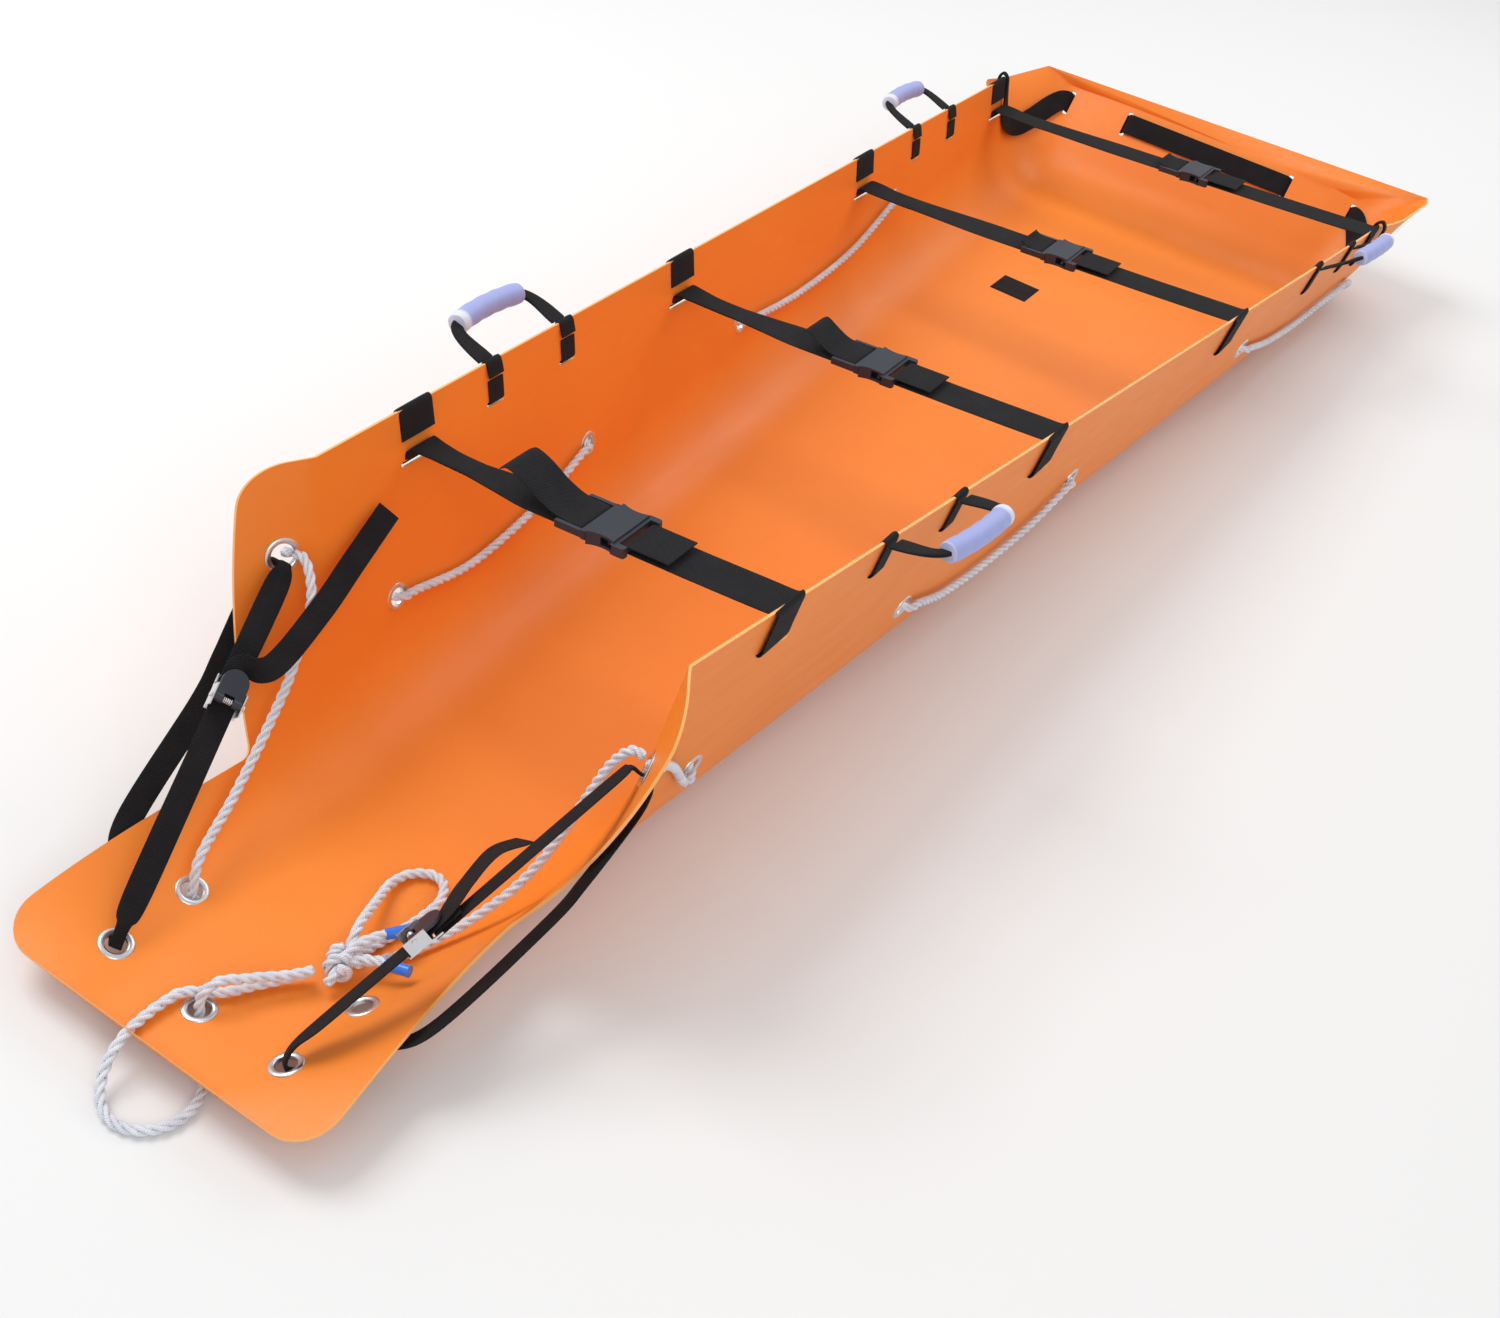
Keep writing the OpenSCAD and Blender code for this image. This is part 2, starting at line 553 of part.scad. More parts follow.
// Head straps. One length of webbing on each side: sewn to the cam buckle's frame, out
// through the wall grommet, forward to the tongue, up through its grommet, and through the cam.
cam_from = spot(60, 102, 14);
cam_to = spot(head_hole_x - 4, head_hole_u, 15);
cam_dir = unit(cam_to - cam_from);
cam_norm = unit(cross(cam_dir, cross([0, -0.6, 0.8], cam_dir)));
cam_across = cross(cam_norm, cam_dir);
cam_share = [0.60, 0.37];        // how far up its strap the buckle sits, far and near
function cam_at(side) = cam_from + cam_share[side] * (cam_to - cam_from);
module at_cam(side) {
    a = cam_at(side);
    multmatrix([[cam_dir[0], cam_across[0], cam_norm[0], a[0]],
                [cam_dir[1], cam_across[1], cam_norm[1], a[1]],
                [cam_dir[2], cam_across[2], cam_norm[2], a[2]]]) children();
}
bunch = 12;                      // webbing width where it is gathered through a grommet
function stop(p, width = narrow_w) = [p, cam_across, width];
function by_cam(side, along, up) = cam_at(side) + along * cam_dir + up * cam_norm;
tail_ends = [[[-890, 152, 166], [-822, 158, 188], [-760, 172, 206], [-690, 190, 222]],
    [[-950, 134, 128], [-905, 128, 126], [-868, 134, 116]]];
module head_webbing(side) {
    // from the frame's end bar out through the wall grommet and forward to the tongue
    run = [stop(by_cam(side, 30, -3.7)), stop(cam_to - 30 * cam_dir), stop(cam_to - 8 * cam_dir, bunch),
        stop(spot(379, 352, 8), bunch), stop(spot(379, 352, -5), bunch),
        stop(spot(370, 343, -9), bunch), stop(spot(352, 326, -7)), stop(spot(306, 280, -5)),
        stop(spot(268, 250, -6)), stop(spot(152, 192, -9)), stop(spot(118, 160, -6)),
        stop(spot(88, 130, -6)), stop(spot(70, 112, -6), bunch), stop(spot(61, 103, -4), bunch),
        stop(spot(60, 102, 6), bunch), stop(cam_from + 12 * cam_dir, bunch),
        stop(cam_from + 40 * cam_dir), stop(by_cam(side, -30, 0.9)), stop(by_cam(side, 5, 0.9)),
        stop(by_cam(side, 17, 3.1)), stop(by_cam(side, 36, 5))];
    ribbon(concat(run, [for (q = tail_ends[side]) stop(q)]), webbing_t);
    at_cam(side) {
        translate([16.6, -narrow_w / 2, -4.6]) cube([32, narrow_w, webbing_t]);
        translate([16.6, -narrow_w / 2, -4.6]) cube([webbing_t, narrow_w, 6]);
        translate([16.6, -narrow_w / 2, -0.4]) cube([24, narrow_w, webbing_t]);
        translate([38.8, -narrow_w / 2, -4.6]) cube([webbing_t, narrow_w, 6]);
    }
}
cam_pin_z = 8;
module head_cam_frame() {
    difference() {
        union() {
            translate([-12, -15.2, -1.6]) cube([26, 30.4, 1.4]);
            for (e = [-1, 1]) translate([-10, e * 14.5 - 0.7, -1.6]) cube([22, 1.4, 14]);
            for (e = [-1, 1]) translate([10, e * 14.2 - 1, -2.4]) cube([13, 2, 1.8]);
            translate([20, -15.2, -2.4]) cube([3, 30.4, 1.6]);
        }
        translate([0, 20, cam_pin_z]) rotate([90, 0, 0]) cylinder(h = 40, r = 1.5, $fn = 32);
    }
}
module head_cam_pin() {
    translate([0, 17.2, cam_pin_z]) rotate([90, 0, 0]) {
        translate([0, 0, 1]) cylinder(h = 32.4, r = 1.5, $fn = 32);
        cylinder(h = 1.2, r = 2.6, $fn = 32);
        translate([0, 0, 33.2]) cylinder(h = 1.2, r = 2.6, $fn = 32);
    }
}
module head_cam_lever() {
    difference() {
        union() {
            translate([0, 13.2, cam_pin_z]) rotate([90, 0, 0]) cylinder(h = 26.4, r = 4.4, $fn = 48);
            translate([0, -13.2, cam_pin_z - 0.4]) cube([18, 26.4, 3.2]);
            translate([18, 0, cam_pin_z - 0.4]) cylinder(h = 3.2, r = 13.2, $fn = 64);
            translate([-3.4, -13.2, cam_pin_z - 4.7]) cube([5, 26.4, 4.7]);
        }
        translate([0, 20, cam_pin_z]) rotate([90, 0, 0]) cylinder(h = 40, r = 1.56, $fn = 32);
        translate([-9, -5, cam_pin_z - 8]) cube([14.5, 10, 16]);
    }
}
module head_cam_spring() {
    for (y = [-3.6:1.8:3.6]) translate([0, y, cam_pin_z]) rotate([90, 0, 0])
        rotate_extrude($fn = 32) translate([2.8, 0]) circle(d = 1.2, $fn = 16);
}
module head_part(side, p) {
    mirror([0, side, 0]) {
        if (p == "webbing") color(webbing_black) head_webbing(side);
        if (p == "cam_frame") color(steel) at_cam(side) head_cam_frame();
        if (p == "cam_lever") color(plastic_grey) at_cam(side) head_cam_lever();
        if (p == "cam_pin") color(steel) at_cam(side) head_cam_pin();
        if (p == "cam_spring") color(steel) at_cam(side) head_cam_spring();
    }
}

// Foot strap: threaded through the foot edge and looped over both rims to hold the curl up.
// It is gathered where it crosses a rim. Stops are [station, across, inwards, width], and its
// width runs along the rim at station rim_x.
function across_foot(q, side, rim_x) =
    let (v = side == 0 ? q[1] : -q[1]) [spot(q[0], v, q[2]), along_rim(rim_x, v), q[3]];
foot_w = 34;
foot_bunch = 9;                  // width where the strap crosses the rim
foot_rim = [
    [2213.5, 424, -7.6, foot_bunch], [2213.5, 440, -7.6, foot_bunch], [2213.5, 451, -6.8, foot_bunch],
    [2213.5, 458.5, 0.4, foot_bunch], [2213.5, 451, 7.6, foot_bunch], [2214.5, 437, 8, 10],
    [2218, 421, 8.8, 14], [2226, 405, 9.6, 21], [2239, 390, 10, 28], [2254, 377, 10, 32]];
foot_edge = [
    [2270, 365, 10], [2286, 355, 10], [2302, 345, 10], [2318, 335, 10], [2333, 324, 10],
    [2348, 313, 10], [2364, 303, 9.6], [2378, 294, 9.4], [2389, 285.5, 9.2], [2397, 277, 8.6],
    [2400, 268.6, 7], [2400, 263.2, 3.4], [2400, 260.2, -1], [2400, 255, -5.4], [2400, 232, -6],
    [2400, 206, -6.4], [2400, 180, -6], [2400, 157, -5.4], [2400, 151.4, -1],
    [2400, 148.6, 3.4], [2400, 143, 7.6], [2400, 110, 8], [2400, 50, 8]];
function foot_half(side) = concat(
    [for (q = foot_rim) across_foot(q, side, curl_x - 9)],
    [for (q = foot_edge) across_foot([q[0], q[1], q[2], foot_w], side, q[0])]);
module foot_strap() {
    far = foot_half(0);
    near = foot_half(1);
    m = len(far);
    color(webbing_black) ribbon(concat(far, [for (i = [m - 1:-1:0]) near[i]]), webbing_t);
}

sheet();
tongue_grommets();
open_grommet();
wall_grommets();
side_rope();
far_head_rope();
near_head_rope();
bridle_rope();
bow_loop();
head_knot();
rope_end_a();
rope_end_b();
rope_tape_a();
rope_tape_b();
rope_stop();
foot_strap();
for (i = [0:3]) {
    strap_far_webbing(i);
    strap_near_webbing(i);
    strap_plug(i);
    strap_socket(i);
}
for (s = [0, 1], e = [0, 1]) {
    name = str(["far", "near"][s], "_", ["front", "rear"][e], "_handle_");
    x = handle_x[s][e];
    r = handle_rest[s][e];
    handle_anchor(s, x);
    handle_webbing(s, x, r);
    handle_grip(s, x, r);
}
for (s = [0, 1], p = ["webbing", "cam_frame", "cam_lever", "cam_pin", "cam_spring"])
    head_part(s, p);
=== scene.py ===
import json
import math

import bmesh
import bpy
import numpy as np
from mathutils import Matrix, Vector
from mathutils.geometry import delaunay_2d_cdt


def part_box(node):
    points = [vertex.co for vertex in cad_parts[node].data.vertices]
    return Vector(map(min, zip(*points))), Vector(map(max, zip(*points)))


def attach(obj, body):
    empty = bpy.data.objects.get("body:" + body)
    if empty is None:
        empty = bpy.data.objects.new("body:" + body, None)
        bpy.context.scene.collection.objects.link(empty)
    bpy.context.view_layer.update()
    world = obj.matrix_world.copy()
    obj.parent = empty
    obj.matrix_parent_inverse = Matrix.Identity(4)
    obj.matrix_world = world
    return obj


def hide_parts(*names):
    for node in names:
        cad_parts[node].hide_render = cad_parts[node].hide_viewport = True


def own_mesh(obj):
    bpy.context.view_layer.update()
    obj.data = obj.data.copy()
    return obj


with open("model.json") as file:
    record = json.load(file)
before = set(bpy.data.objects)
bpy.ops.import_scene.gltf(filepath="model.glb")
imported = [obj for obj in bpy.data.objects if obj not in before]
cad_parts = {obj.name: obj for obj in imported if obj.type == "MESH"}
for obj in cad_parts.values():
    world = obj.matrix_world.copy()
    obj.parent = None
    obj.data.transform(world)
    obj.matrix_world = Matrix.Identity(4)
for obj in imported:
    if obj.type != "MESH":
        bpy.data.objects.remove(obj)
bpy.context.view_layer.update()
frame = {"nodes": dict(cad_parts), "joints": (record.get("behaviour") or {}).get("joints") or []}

# Camera: a little above a standing person's chest, off the head end and towards the near side,
# looking down the trough, turned slightly so that the tongue leads into the picture.
eye = np.array([-1.8091, -0.7699, 1.3124])
view_right = np.array([0.53993, -0.82729, 0.155105])
view_up = np.array([0.47733, 0.45272, 0.75313])
view_back = -np.array([0.69328, 0.33260, -0.63933])
camera = bpy.data.objects.new("camera", bpy.data.cameras.new("camera"))
bpy.context.scene.collection.objects.link(camera)
camera.data.sensor_fit = "HORIZONTAL"
camera.data.sensor_width = 36
camera.data.lens = 43.24
camera.data.clip_end = 50
camera.matrix_world = Matrix([[*row, at] for row, at in zip(
    np.column_stack([view_right, view_up, view_back]).tolist(), eye)] + [[0, 0, 0, 1]])
bpy.context.scene.camera = camera


# Free rope at the head: white three-strand laid polyester, 10 mm thick. It leaves the wall
# grommets, runs to the tongue, ties a bow there and makes a bridle round the tongue's edge.
def unit(v):
    """Each vector divided by its length."""
    v = np.asarray(v, float)
    return v / np.linalg.norm(v, axis=-1, keepdims=True)


def smooth_path(stops, step):
    """Catmull-Rom curve through the stops, cut into even steps of arc length. Columns after
    the first three, such as a width, are carried along the same way."""
    p = np.asarray(stops, float)
    q = np.vstack([2 * p[0] - p[1], p, 2 * p[-1] - p[-2]])
    t = np.linspace(0, 1, 20, endpoint=False)[:, None, None]
    a, b, c, d = q[:-3], q[1:-2], q[2:-1], q[3:]
    curve = 0.5 * (2 * b + (c - a) * t + (2 * a - 5 * b + 4 * c - d) * t ** 2
                   + (3 * b - a - 3 * c + d) * t ** 3)
    curve = np.vstack([curve.transpose(1, 0, 2).reshape(-1, p.shape[1]), p[-1:]])
    run = np.concatenate([[0], np.cumsum(np.linalg.norm(np.diff(curve[:, :3], axis=0), axis=1))])
    s = np.linspace(0, run[-1], max(3, round(run[-1] / step) + 1))
    return np.column_stack([np.interp(s, run, column) for column in curve.T]), s


def surface(name, grid, across, along, finish, body, round_about=True, ends=True):
    """A mesh from a grid of points [ring, place round the ring]. The UV map holds the place
    round the ring and the length along it. Closed rings get an end face each."""
    rings, sides = grid.shape[:2]
    index = np.arange(rings * sides).reshape(rings, sides)
    right = np.roll(index, -1, 1)
    if not round_about:
        index, right = index[:, :-1], index[:, 1:]
    quads = np.stack([index[:-1], right[:-1], right[1:], index[1:]], -1).reshape(-1, 4)
    u0 = np.broadcast_to(across, (rings, sides))
    u1 = np.column_stack([u0[:, 1:], u0[:, -1] + (u0[:, -1] - u0[:, -2])])
    if not round_about:
        u0, u1 = u0[:, :-1], u0[:, 1:]
    v = np.broadcast_to(np.asarray(along)[:, None], u0.shape)
    uv = np.stack([np.stack([u0[:-1], v[:-1]], -1), np.stack([u1[:-1], v[:-1]], -1),
                   np.stack([u1[1:], v[1:]], -1), np.stack([u0[1:], v[1:]], -1)], -2).reshape(-1, 2)
    faces = quads.tolist()
    if ends and round_about:
        faces += [index[0, ::-1].tolist(), index[-1].tolist()]
        uv = np.vstack([uv, np.repeat([[0, along[0]]], sides, 0), np.repeat([[0, along[-1]]], sides, 0)])
    mesh = bpy.data.meshes.new(name)
    mesh.from_pydata(grid.reshape(-1, 3).tolist(), [], faces)
    mesh.uv_layers.new(name="lay").data.foreach_set("uv", uv.astype(np.float32).ravel())
    mesh.polygons.foreach_set("use_smooth", [True] * len(faces))
    mesh.set_sharp_from_angle(angle=math.radians(50))
    mesh.materials.append(finish)
    piece = bpy.data.objects.new(name, mesh)
    bpy.context.scene.collection.objects.link(piece)
    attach(piece, body)
    return piece


def finish_of(name, colour, rough, metal=0.0, coat=0.0, sheen=0.0):
    """A material with one Principled BSDF; its plain values stand on the shader's own sockets."""
    made = bpy.data.materials.new(name)
    made.use_nodes = True
    shader = made.node_tree.nodes["Principled BSDF"]
    shader.inputs["Base Color"].default_value = (*colour, 1)
    shader.inputs["Roughness"].default_value = rough
    shader.inputs["Metallic"].default_value = metal
    shader.inputs["Coat Weight"].default_value = coat
    shader.inputs["Sheen Weight"].default_value = sheen
    return made, made.node_tree.nodes, made.node_tree.links, shader


def math_node(nodes, links, kind, a, b=None):
    """One Math node, fed by sockets or plain numbers."""
    made = nodes.new("ShaderNodeMath")
    made.operation = kind
    for socket, value in zip(made.inputs, [a] if b is None else [a, b]):
        if isinstance(value, bpy.types.NodeSocket):
            links.new(value, socket)
        else:
            socket.default_value = value
    return made.outputs[0]


def bump(nodes, links, shader, height, depth):
    """Height into a Bump node that feeds the shader's Normal."""
    made = nodes.new("ShaderNodeBump")
    made.inputs["Distance"].default_value = depth
    made.inputs["Strength"].default_value = 1
    links.new(height, made.inputs["Height"])
    links.new(made.outputs["Normal"], shader.inputs["Normal"])


def colour_mix(nodes, links, share, low, high, target):
    """Blends two plain colours by a share from 0 to 1 into a colour socket."""
    ramp = nodes.new("ShaderNodeValToRGB")
    ramp.color_ramp.elements[0].color = (*low, 1)
    ramp.color_ramp.elements[1].color = (*high, 1)
    links.new(share, ramp.inputs["Fac"])
    links.new(ramp.outputs["Color"], target)
    return ramp


def split_lay(nodes, links):
    """The piece's own UV map, as its two coordinates."""
    source = nodes.new("ShaderNodeUVMap")
    source.uv_map = "lay"
    parts = nodes.new("ShaderNodeSeparateXYZ")
    links.new(source.outputs["UV"], parts.inputs[0])
    return parts.outputs["X"], parts.outputs["Y"]


def grain_group():
    """A shader node group, made once: noise on Object coordinates, with each axis scaled by
    Stretch, and its value spread from Low to High."""
    group = bpy.data.node_groups.new("surface_grain", "ShaderNodeTree")
    for socket, value in [("Scale", 50.0), ("Detail", 3.0), ("Low", 0.0), ("High", 1.0)]:
        made = group.interface.new_socket(socket, in_out="INPUT", socket_type="NodeSocketFloat")
        made.default_value = value
    made = group.interface.new_socket("Stretch", in_out="INPUT", socket_type="NodeSocketVector")
    made.default_value = (1, 1, 1)
    group.interface.new_socket("Value", in_out="OUTPUT", socket_type="NodeSocketFloat")
    given, place, scaled, pattern, spread, put = (group.nodes.new(kind) for kind in (
        "NodeGroupInput", "ShaderNodeTexCoord", "ShaderNodeVectorMath", "ShaderNodeTexNoise",
        "ShaderNodeMapRange", "NodeGroupOutput"))
    scaled.operation = "MULTIPLY"
    group.links.new(place.outputs["Object"], scaled.inputs[0])
    group.links.new(given.outputs["Stretch"], scaled.inputs[1])
    group.links.new(scaled.outputs[0], pattern.inputs["Vector"])
    group.links.new(given.outputs["Scale"], pattern.inputs["Scale"])
    group.links.new(given.outputs["Detail"], pattern.inputs["Detail"])
    group.links.new(pattern.outputs["Fac"], spread.inputs["Value"])
    group.links.new(given.outputs["Low"], spread.inputs["To Min"])
    group.links.new(given.outputs["High"], spread.inputs["To Max"])
    group.links.new(spread.outputs["Result"], put.inputs["Value"])
    return group


surface_grain = grain_group()


def grain(nodes, links, scale, low=0.0, high=1.0, detail=3.0, stretch=(1, 1, 1)):
    """Places the grain group with its own values and gives its output."""
    made = nodes.new("ShaderNodeGroup")
    made.node_tree = surface_grain
    given = {"Scale": scale, "Low": low, "High": high, "Detail": detail, "Stretch": stretch}
    for socket, value in given.items():
        made.inputs[socket].default_value = value
    return made.outputs["Value"]


rope_finish, nodes, links, shader = finish_of("white_rope", (0.80, 0.83, 0.92), 0.62, sheen=0.3)
round_about, length = split_lay(nodes, links)
yarn = math_node(nodes, links, "SINE", math_node(nodes, links, "ADD",
    math_node(nodes, links, "MULTIPLY", round_about, 2 * math.pi * 12),
    math_node(nodes, links, "MULTIPLY", length, 2 * math.pi / 0.0032)))
bump(nodes, links, shader, yarn, 0.00022)
colour_mix(nodes, links, math_node(nodes, links, "ADD", math_node(nodes, links, "MULTIPLY", yarn, 0.18),
    grain(nodes, links, 60.0)), (0.60, 0.63, 0.74), (0.93, 0.94, 0.98), shader.inputs["Base Color"])

rope_r = 0.005
lay_length = 0.034


def laid_rope(name, stops, body="stretcher", step=0.002, sides=27, blunt=True):
    """Three strands twisted together. Round the rope, the surface is the outer envelope of
    three circles of radius 0.464 r whose centres stand 0.536 r out, and the whole section
    turns once in each lay length. The section is carried without twist along the path."""
    path, s = smooth_path(stops, step)
    t = unit(np.gradient(path, axis=0))
    n = np.empty_like(t)
    n[0] = unit(np.cross(t[0], [0.31, 0.47, 0.83]))
    for i in range(1, len(t)):
        n[i] = unit(n[i - 1] - (n[i - 1] @ t[i]) * t[i])
    b = np.cross(t, n)
    angle = np.linspace(0, 2 * math.pi, sides, endpoint=False)
    turn = angle[None] - (2 * math.pi * s / lay_length)[:, None]
    phi = (turn + math.pi / 3) % (2 * math.pi / 3) - math.pi / 3
    strand, out = 0.464 * rope_r, 0.536 * rope_r
    groove = (0.06 * rope_r) ** 2
    r = out * np.cos(phi) + np.sqrt(np.clip(strand ** 2 - (out * np.sin(phi)) ** 2, 0, None) + groove)
    if blunt:
        fade = np.clip(np.minimum(s, s[-1] - s) / 0.0025, 0, 1)
        r = r * (0.25 + 0.75 * np.sqrt(1 - (1 - fade) ** 2))[:, None]
    grid = path[:, None] + r[..., None] * (np.cos(angle)[None, :, None] * n[:, None]
                                           + np.sin(angle)[None, :, None] * b[:, None])
    piece = surface(name, grid, angle / (2 * math.pi), s, rope_finish, body)
    return piece, path, s[-1]


far_head_route = np.array([
    [-804, 207, 221], [-804, 197, 224], [-807, 187, 218], [-813, 177, 203], [-822, 170, 184],
    [-834, 166, 164], [-848, 163, 144], [-866, 158, 124], [-890, 152, 105], [-916, 145, 88],
    [-943, 138, 72], [-970, 130, 60], [-996, 122, 53], [-1018, 114, 49], [-1033, 108, 42],
    [-1042, 103, 31], [-1045, 103, 20], [-1045, 103, 12]]) / 1000
near_head_route = np.array([
    [-804, -207, 221], [-804, -197, 224], [-806, -187, 216], [-811, -176, 196], [-819, -167, 167],
    [-829, -158, 134], [-842, -150, 104], [-858, -142, 78], [-878, -133, 57], [-900, -122, 41],
    [-923, -112, 30], [-946, -102, 24], [-968, -93, 21], [-988, -84, 22], [-1006, -75, 26],
    [-1020, -68, 30]]) / 1000
bridle_route = np.array([
    [-1046, -46, 27], [-1070, -30, 25], [-1090, -18, 26], [-1112, -6, 29], [-1134, 18, 31],
    [-1156, 22, 33], [-1176, 22, 34], [-1196, 21, 33], [-1216, 18, 25], [-1233, 11, 15],
    [-1246, -3, 8], [-1250, -22, 5], [-1243, -42, 5], [-1226, -56, 5], [-1204, -60, 5],
    [-1182, -52, 5], [-1166, -36, 5], [-1153, -14, 6], [-1142, -5, 8], [-1136, -1, 15],
    [-1135, 0, 24], [-1134, 0, 34], [-1127, -2, 44], [-1115, -7, 48], [-1101, -15, 43],
    [-1086, -24, 39], [-1068, -38, 36], [-1048, -50, 34]]) / 1000
bow_route = np.array([
    [-1012, -56, 32], [-988, -46, 36], [-966, -38, 31], [-943, -30, 24], [-918, -22, 17],
    [-894, -24, 12], [-880, -40, 12], [-884, -58, 15], [-902, -70, 16], [-926, -70, 15],
    [-950, -66, 14], [-974, -62, 15], [-993, -60, 18], [-1012, -60, 24]]) / 1000
end_a_route = np.array([
    [-1028, -61, 33], [-1019, -68, 34], [-1012, -75, 35], [-1009, -81, 36], [-1007, -86, 37],
    [-1006, -91, 38], [-1004, -104, 40], [-1001, -118, 42]]) / 1000
end_b_route = np.array([
    [-1024, -61, 37], [-1014, -62, 41], [-1004, -64, 42], [-999, -66, 43], [-993, -69, 43], [-985, -73, 43],
    [-974, -80, 42], [-963, -86, 41]]) / 1000

far_head_rope, far_path, far_long = laid_rope("far_head_rope_laid", far_head_route)
near_head_rope, near_path, near_long = laid_rope("near_head_rope_laid", near_head_route)
bridle, bridle_path, bridle_long = laid_rope("bridle_rope_laid", bridle_route)
bow, bow_path, bow_long = laid_rope("bow_loop_laid", bow_route)
end_a, end_a_path, end_a_long = laid_rope("rope_end_a_laid", end_a_route)
end_b, end_b_path, end_b_long = laid_rope("rope_end_b_laid", end_b_route)
for piece, node in [(far_head_rope, "far_head_rope"), (near_head_rope, "near_head_rope"),
                    (bridle, "bridle_rope"), (bow, "bow_loop"), (end_a, "rope_end_a"), (end_b, "rope_end_b")]:
    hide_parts(node)

# The knot: the rope's two ends wound round the bridle in three snug turns and drawn through.
# It is about as long as three rope diameters, and the bow, the ends and the bridle leave it.
knot_at = np.array([-1.030, -0.062, 0.032])
turn = np.linspace(-0.6, 1, 40)[:, None] * 2.6 * math.pi
knot_along = unit(np.array([0.82, 0.57, 0.0]))
knot_side = unit(np.array([-0.57, 0.82, 0.0]))
knot_up = np.array([0, 0, 1.0])
swell = 0.0088 + 0.0012 * np.cos(turn * 0.7)
knot_route = (knot_at + knot_along * (turn - 0.5) * 0.0019 + swell * np.cos(turn) * knot_side
              + swell * np.sin(turn) * knot_up)
knot, knot_path, knot_long = laid_rope("head_knot_turns", knot_route)
core_route = knot_at + np.array([[-0.021, -0.003, -0.004], [-0.010, -0.004, 0.001], [0, 0.001, 0.0],
                                 [0.010, 0.004, 0.002], [0.020, 0.005, 0.001]])
knot_core, _, _ = laid_rope("head_knot_core", core_route)
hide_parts("head_knot")
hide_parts("head_knot")

# Stopper knot: the far rope's end under the tongue, an overhand knot drawn up to a ball.
ball = np.linspace(0, 2 * math.pi, 60)[:, None]
stop_at = np.array([-1.045, 0.103, 0.0102])
stop_route = stop_at + 0.0021 * np.hstack([np.sin(ball) + 1.1 * np.sin(2 * ball),
                                           np.cos(ball) - 1.1 * np.cos(2 * ball), -0.9 * np.sin(3 * ball)])
stopper, _, _ = laid_rope("rope_stop_knot", stop_route)
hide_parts("rope_stop")

# Blue vinyl tape wound round each loose end of the rope to keep it from fraying: three laps
# with a raised edge where one lap ends on the next.
tape_finish, nodes, links, shader = finish_of("blue_tape", (0.02, 0.19, 0.78), 0.32, coat=0.3)
bump(nodes, links, shader, grain(nodes, links, 240.0, detail=2.0), 0.0002)


def tube_along(name, path, s, radius, finish, body="stretcher", sides=40):
    """A round tube along a path; radius is given at each ring, or one for all."""
    t = unit(np.gradient(path, axis=0))
    n = unit(np.cross(t, [0.1, 0.2, 0.97]))
    b = np.cross(t, n)
    angle = np.linspace(0, 2 * math.pi, sides, endpoint=False)
    r = np.broadcast_to(radius, s.shape)[:, None, None]
    grid = path[:, None] + r * (np.cos(angle)[None, :, None] * n[:, None]
                                + np.sin(angle)[None, :, None] * b[:, None])
    return surface(name, grid, angle / (2 * math.pi), s, finish, body)


for end, path in [("a", end_a_path), ("b", end_b_path)]:
    path = path[-13:]
    s = np.arange(len(path)) * 0.002
    lap = (s // 0.008) % 2
    radius = 0.0054 + 0.0003 * lap + 0.0001 * np.sin(s * 900)
    tube_along(f"rope_tape_{end}_wrap", path, s, radius, tape_finish)
    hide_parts(f"rope_tape_{end}")


# The sheet: 3 mm orange polyethylene, 2.44 m by 0.90 m, formed into a trough. It is flat in
# the middle, bends up on a 100 mm radius into walls that lean out, narrows to a lifted tongue
# at the head, and curls up at the foot, where the two corners flare unevenly.
sheet_l, sheet_t, half_l = 2.440, 0.003, 1.195
loft_x, lift_x, curl_x = 0.427, 0.385, 2.214
far_near = {"foot slope": (35.0, 60.0), "rim curl": (0.7, 0.25), "cut from": (2.290, 2.380),
            "half foot": (0.330, 0.420)}


def floor_half(x):
    """Half width of the flat middle: it widens in a straight line from head to foot, and
    tapers to 56 mm at the front of the tongue."""
    run = (0.182 + 0.266 * (x - 0.577) / 1.605) / 2
    neck = (0.182 + 0.266 * (loft_x - 0.577) / 1.605) / 2
    return np.where(x < loft_x, 0.056 + (neck - 0.056) * x / loft_x, run)


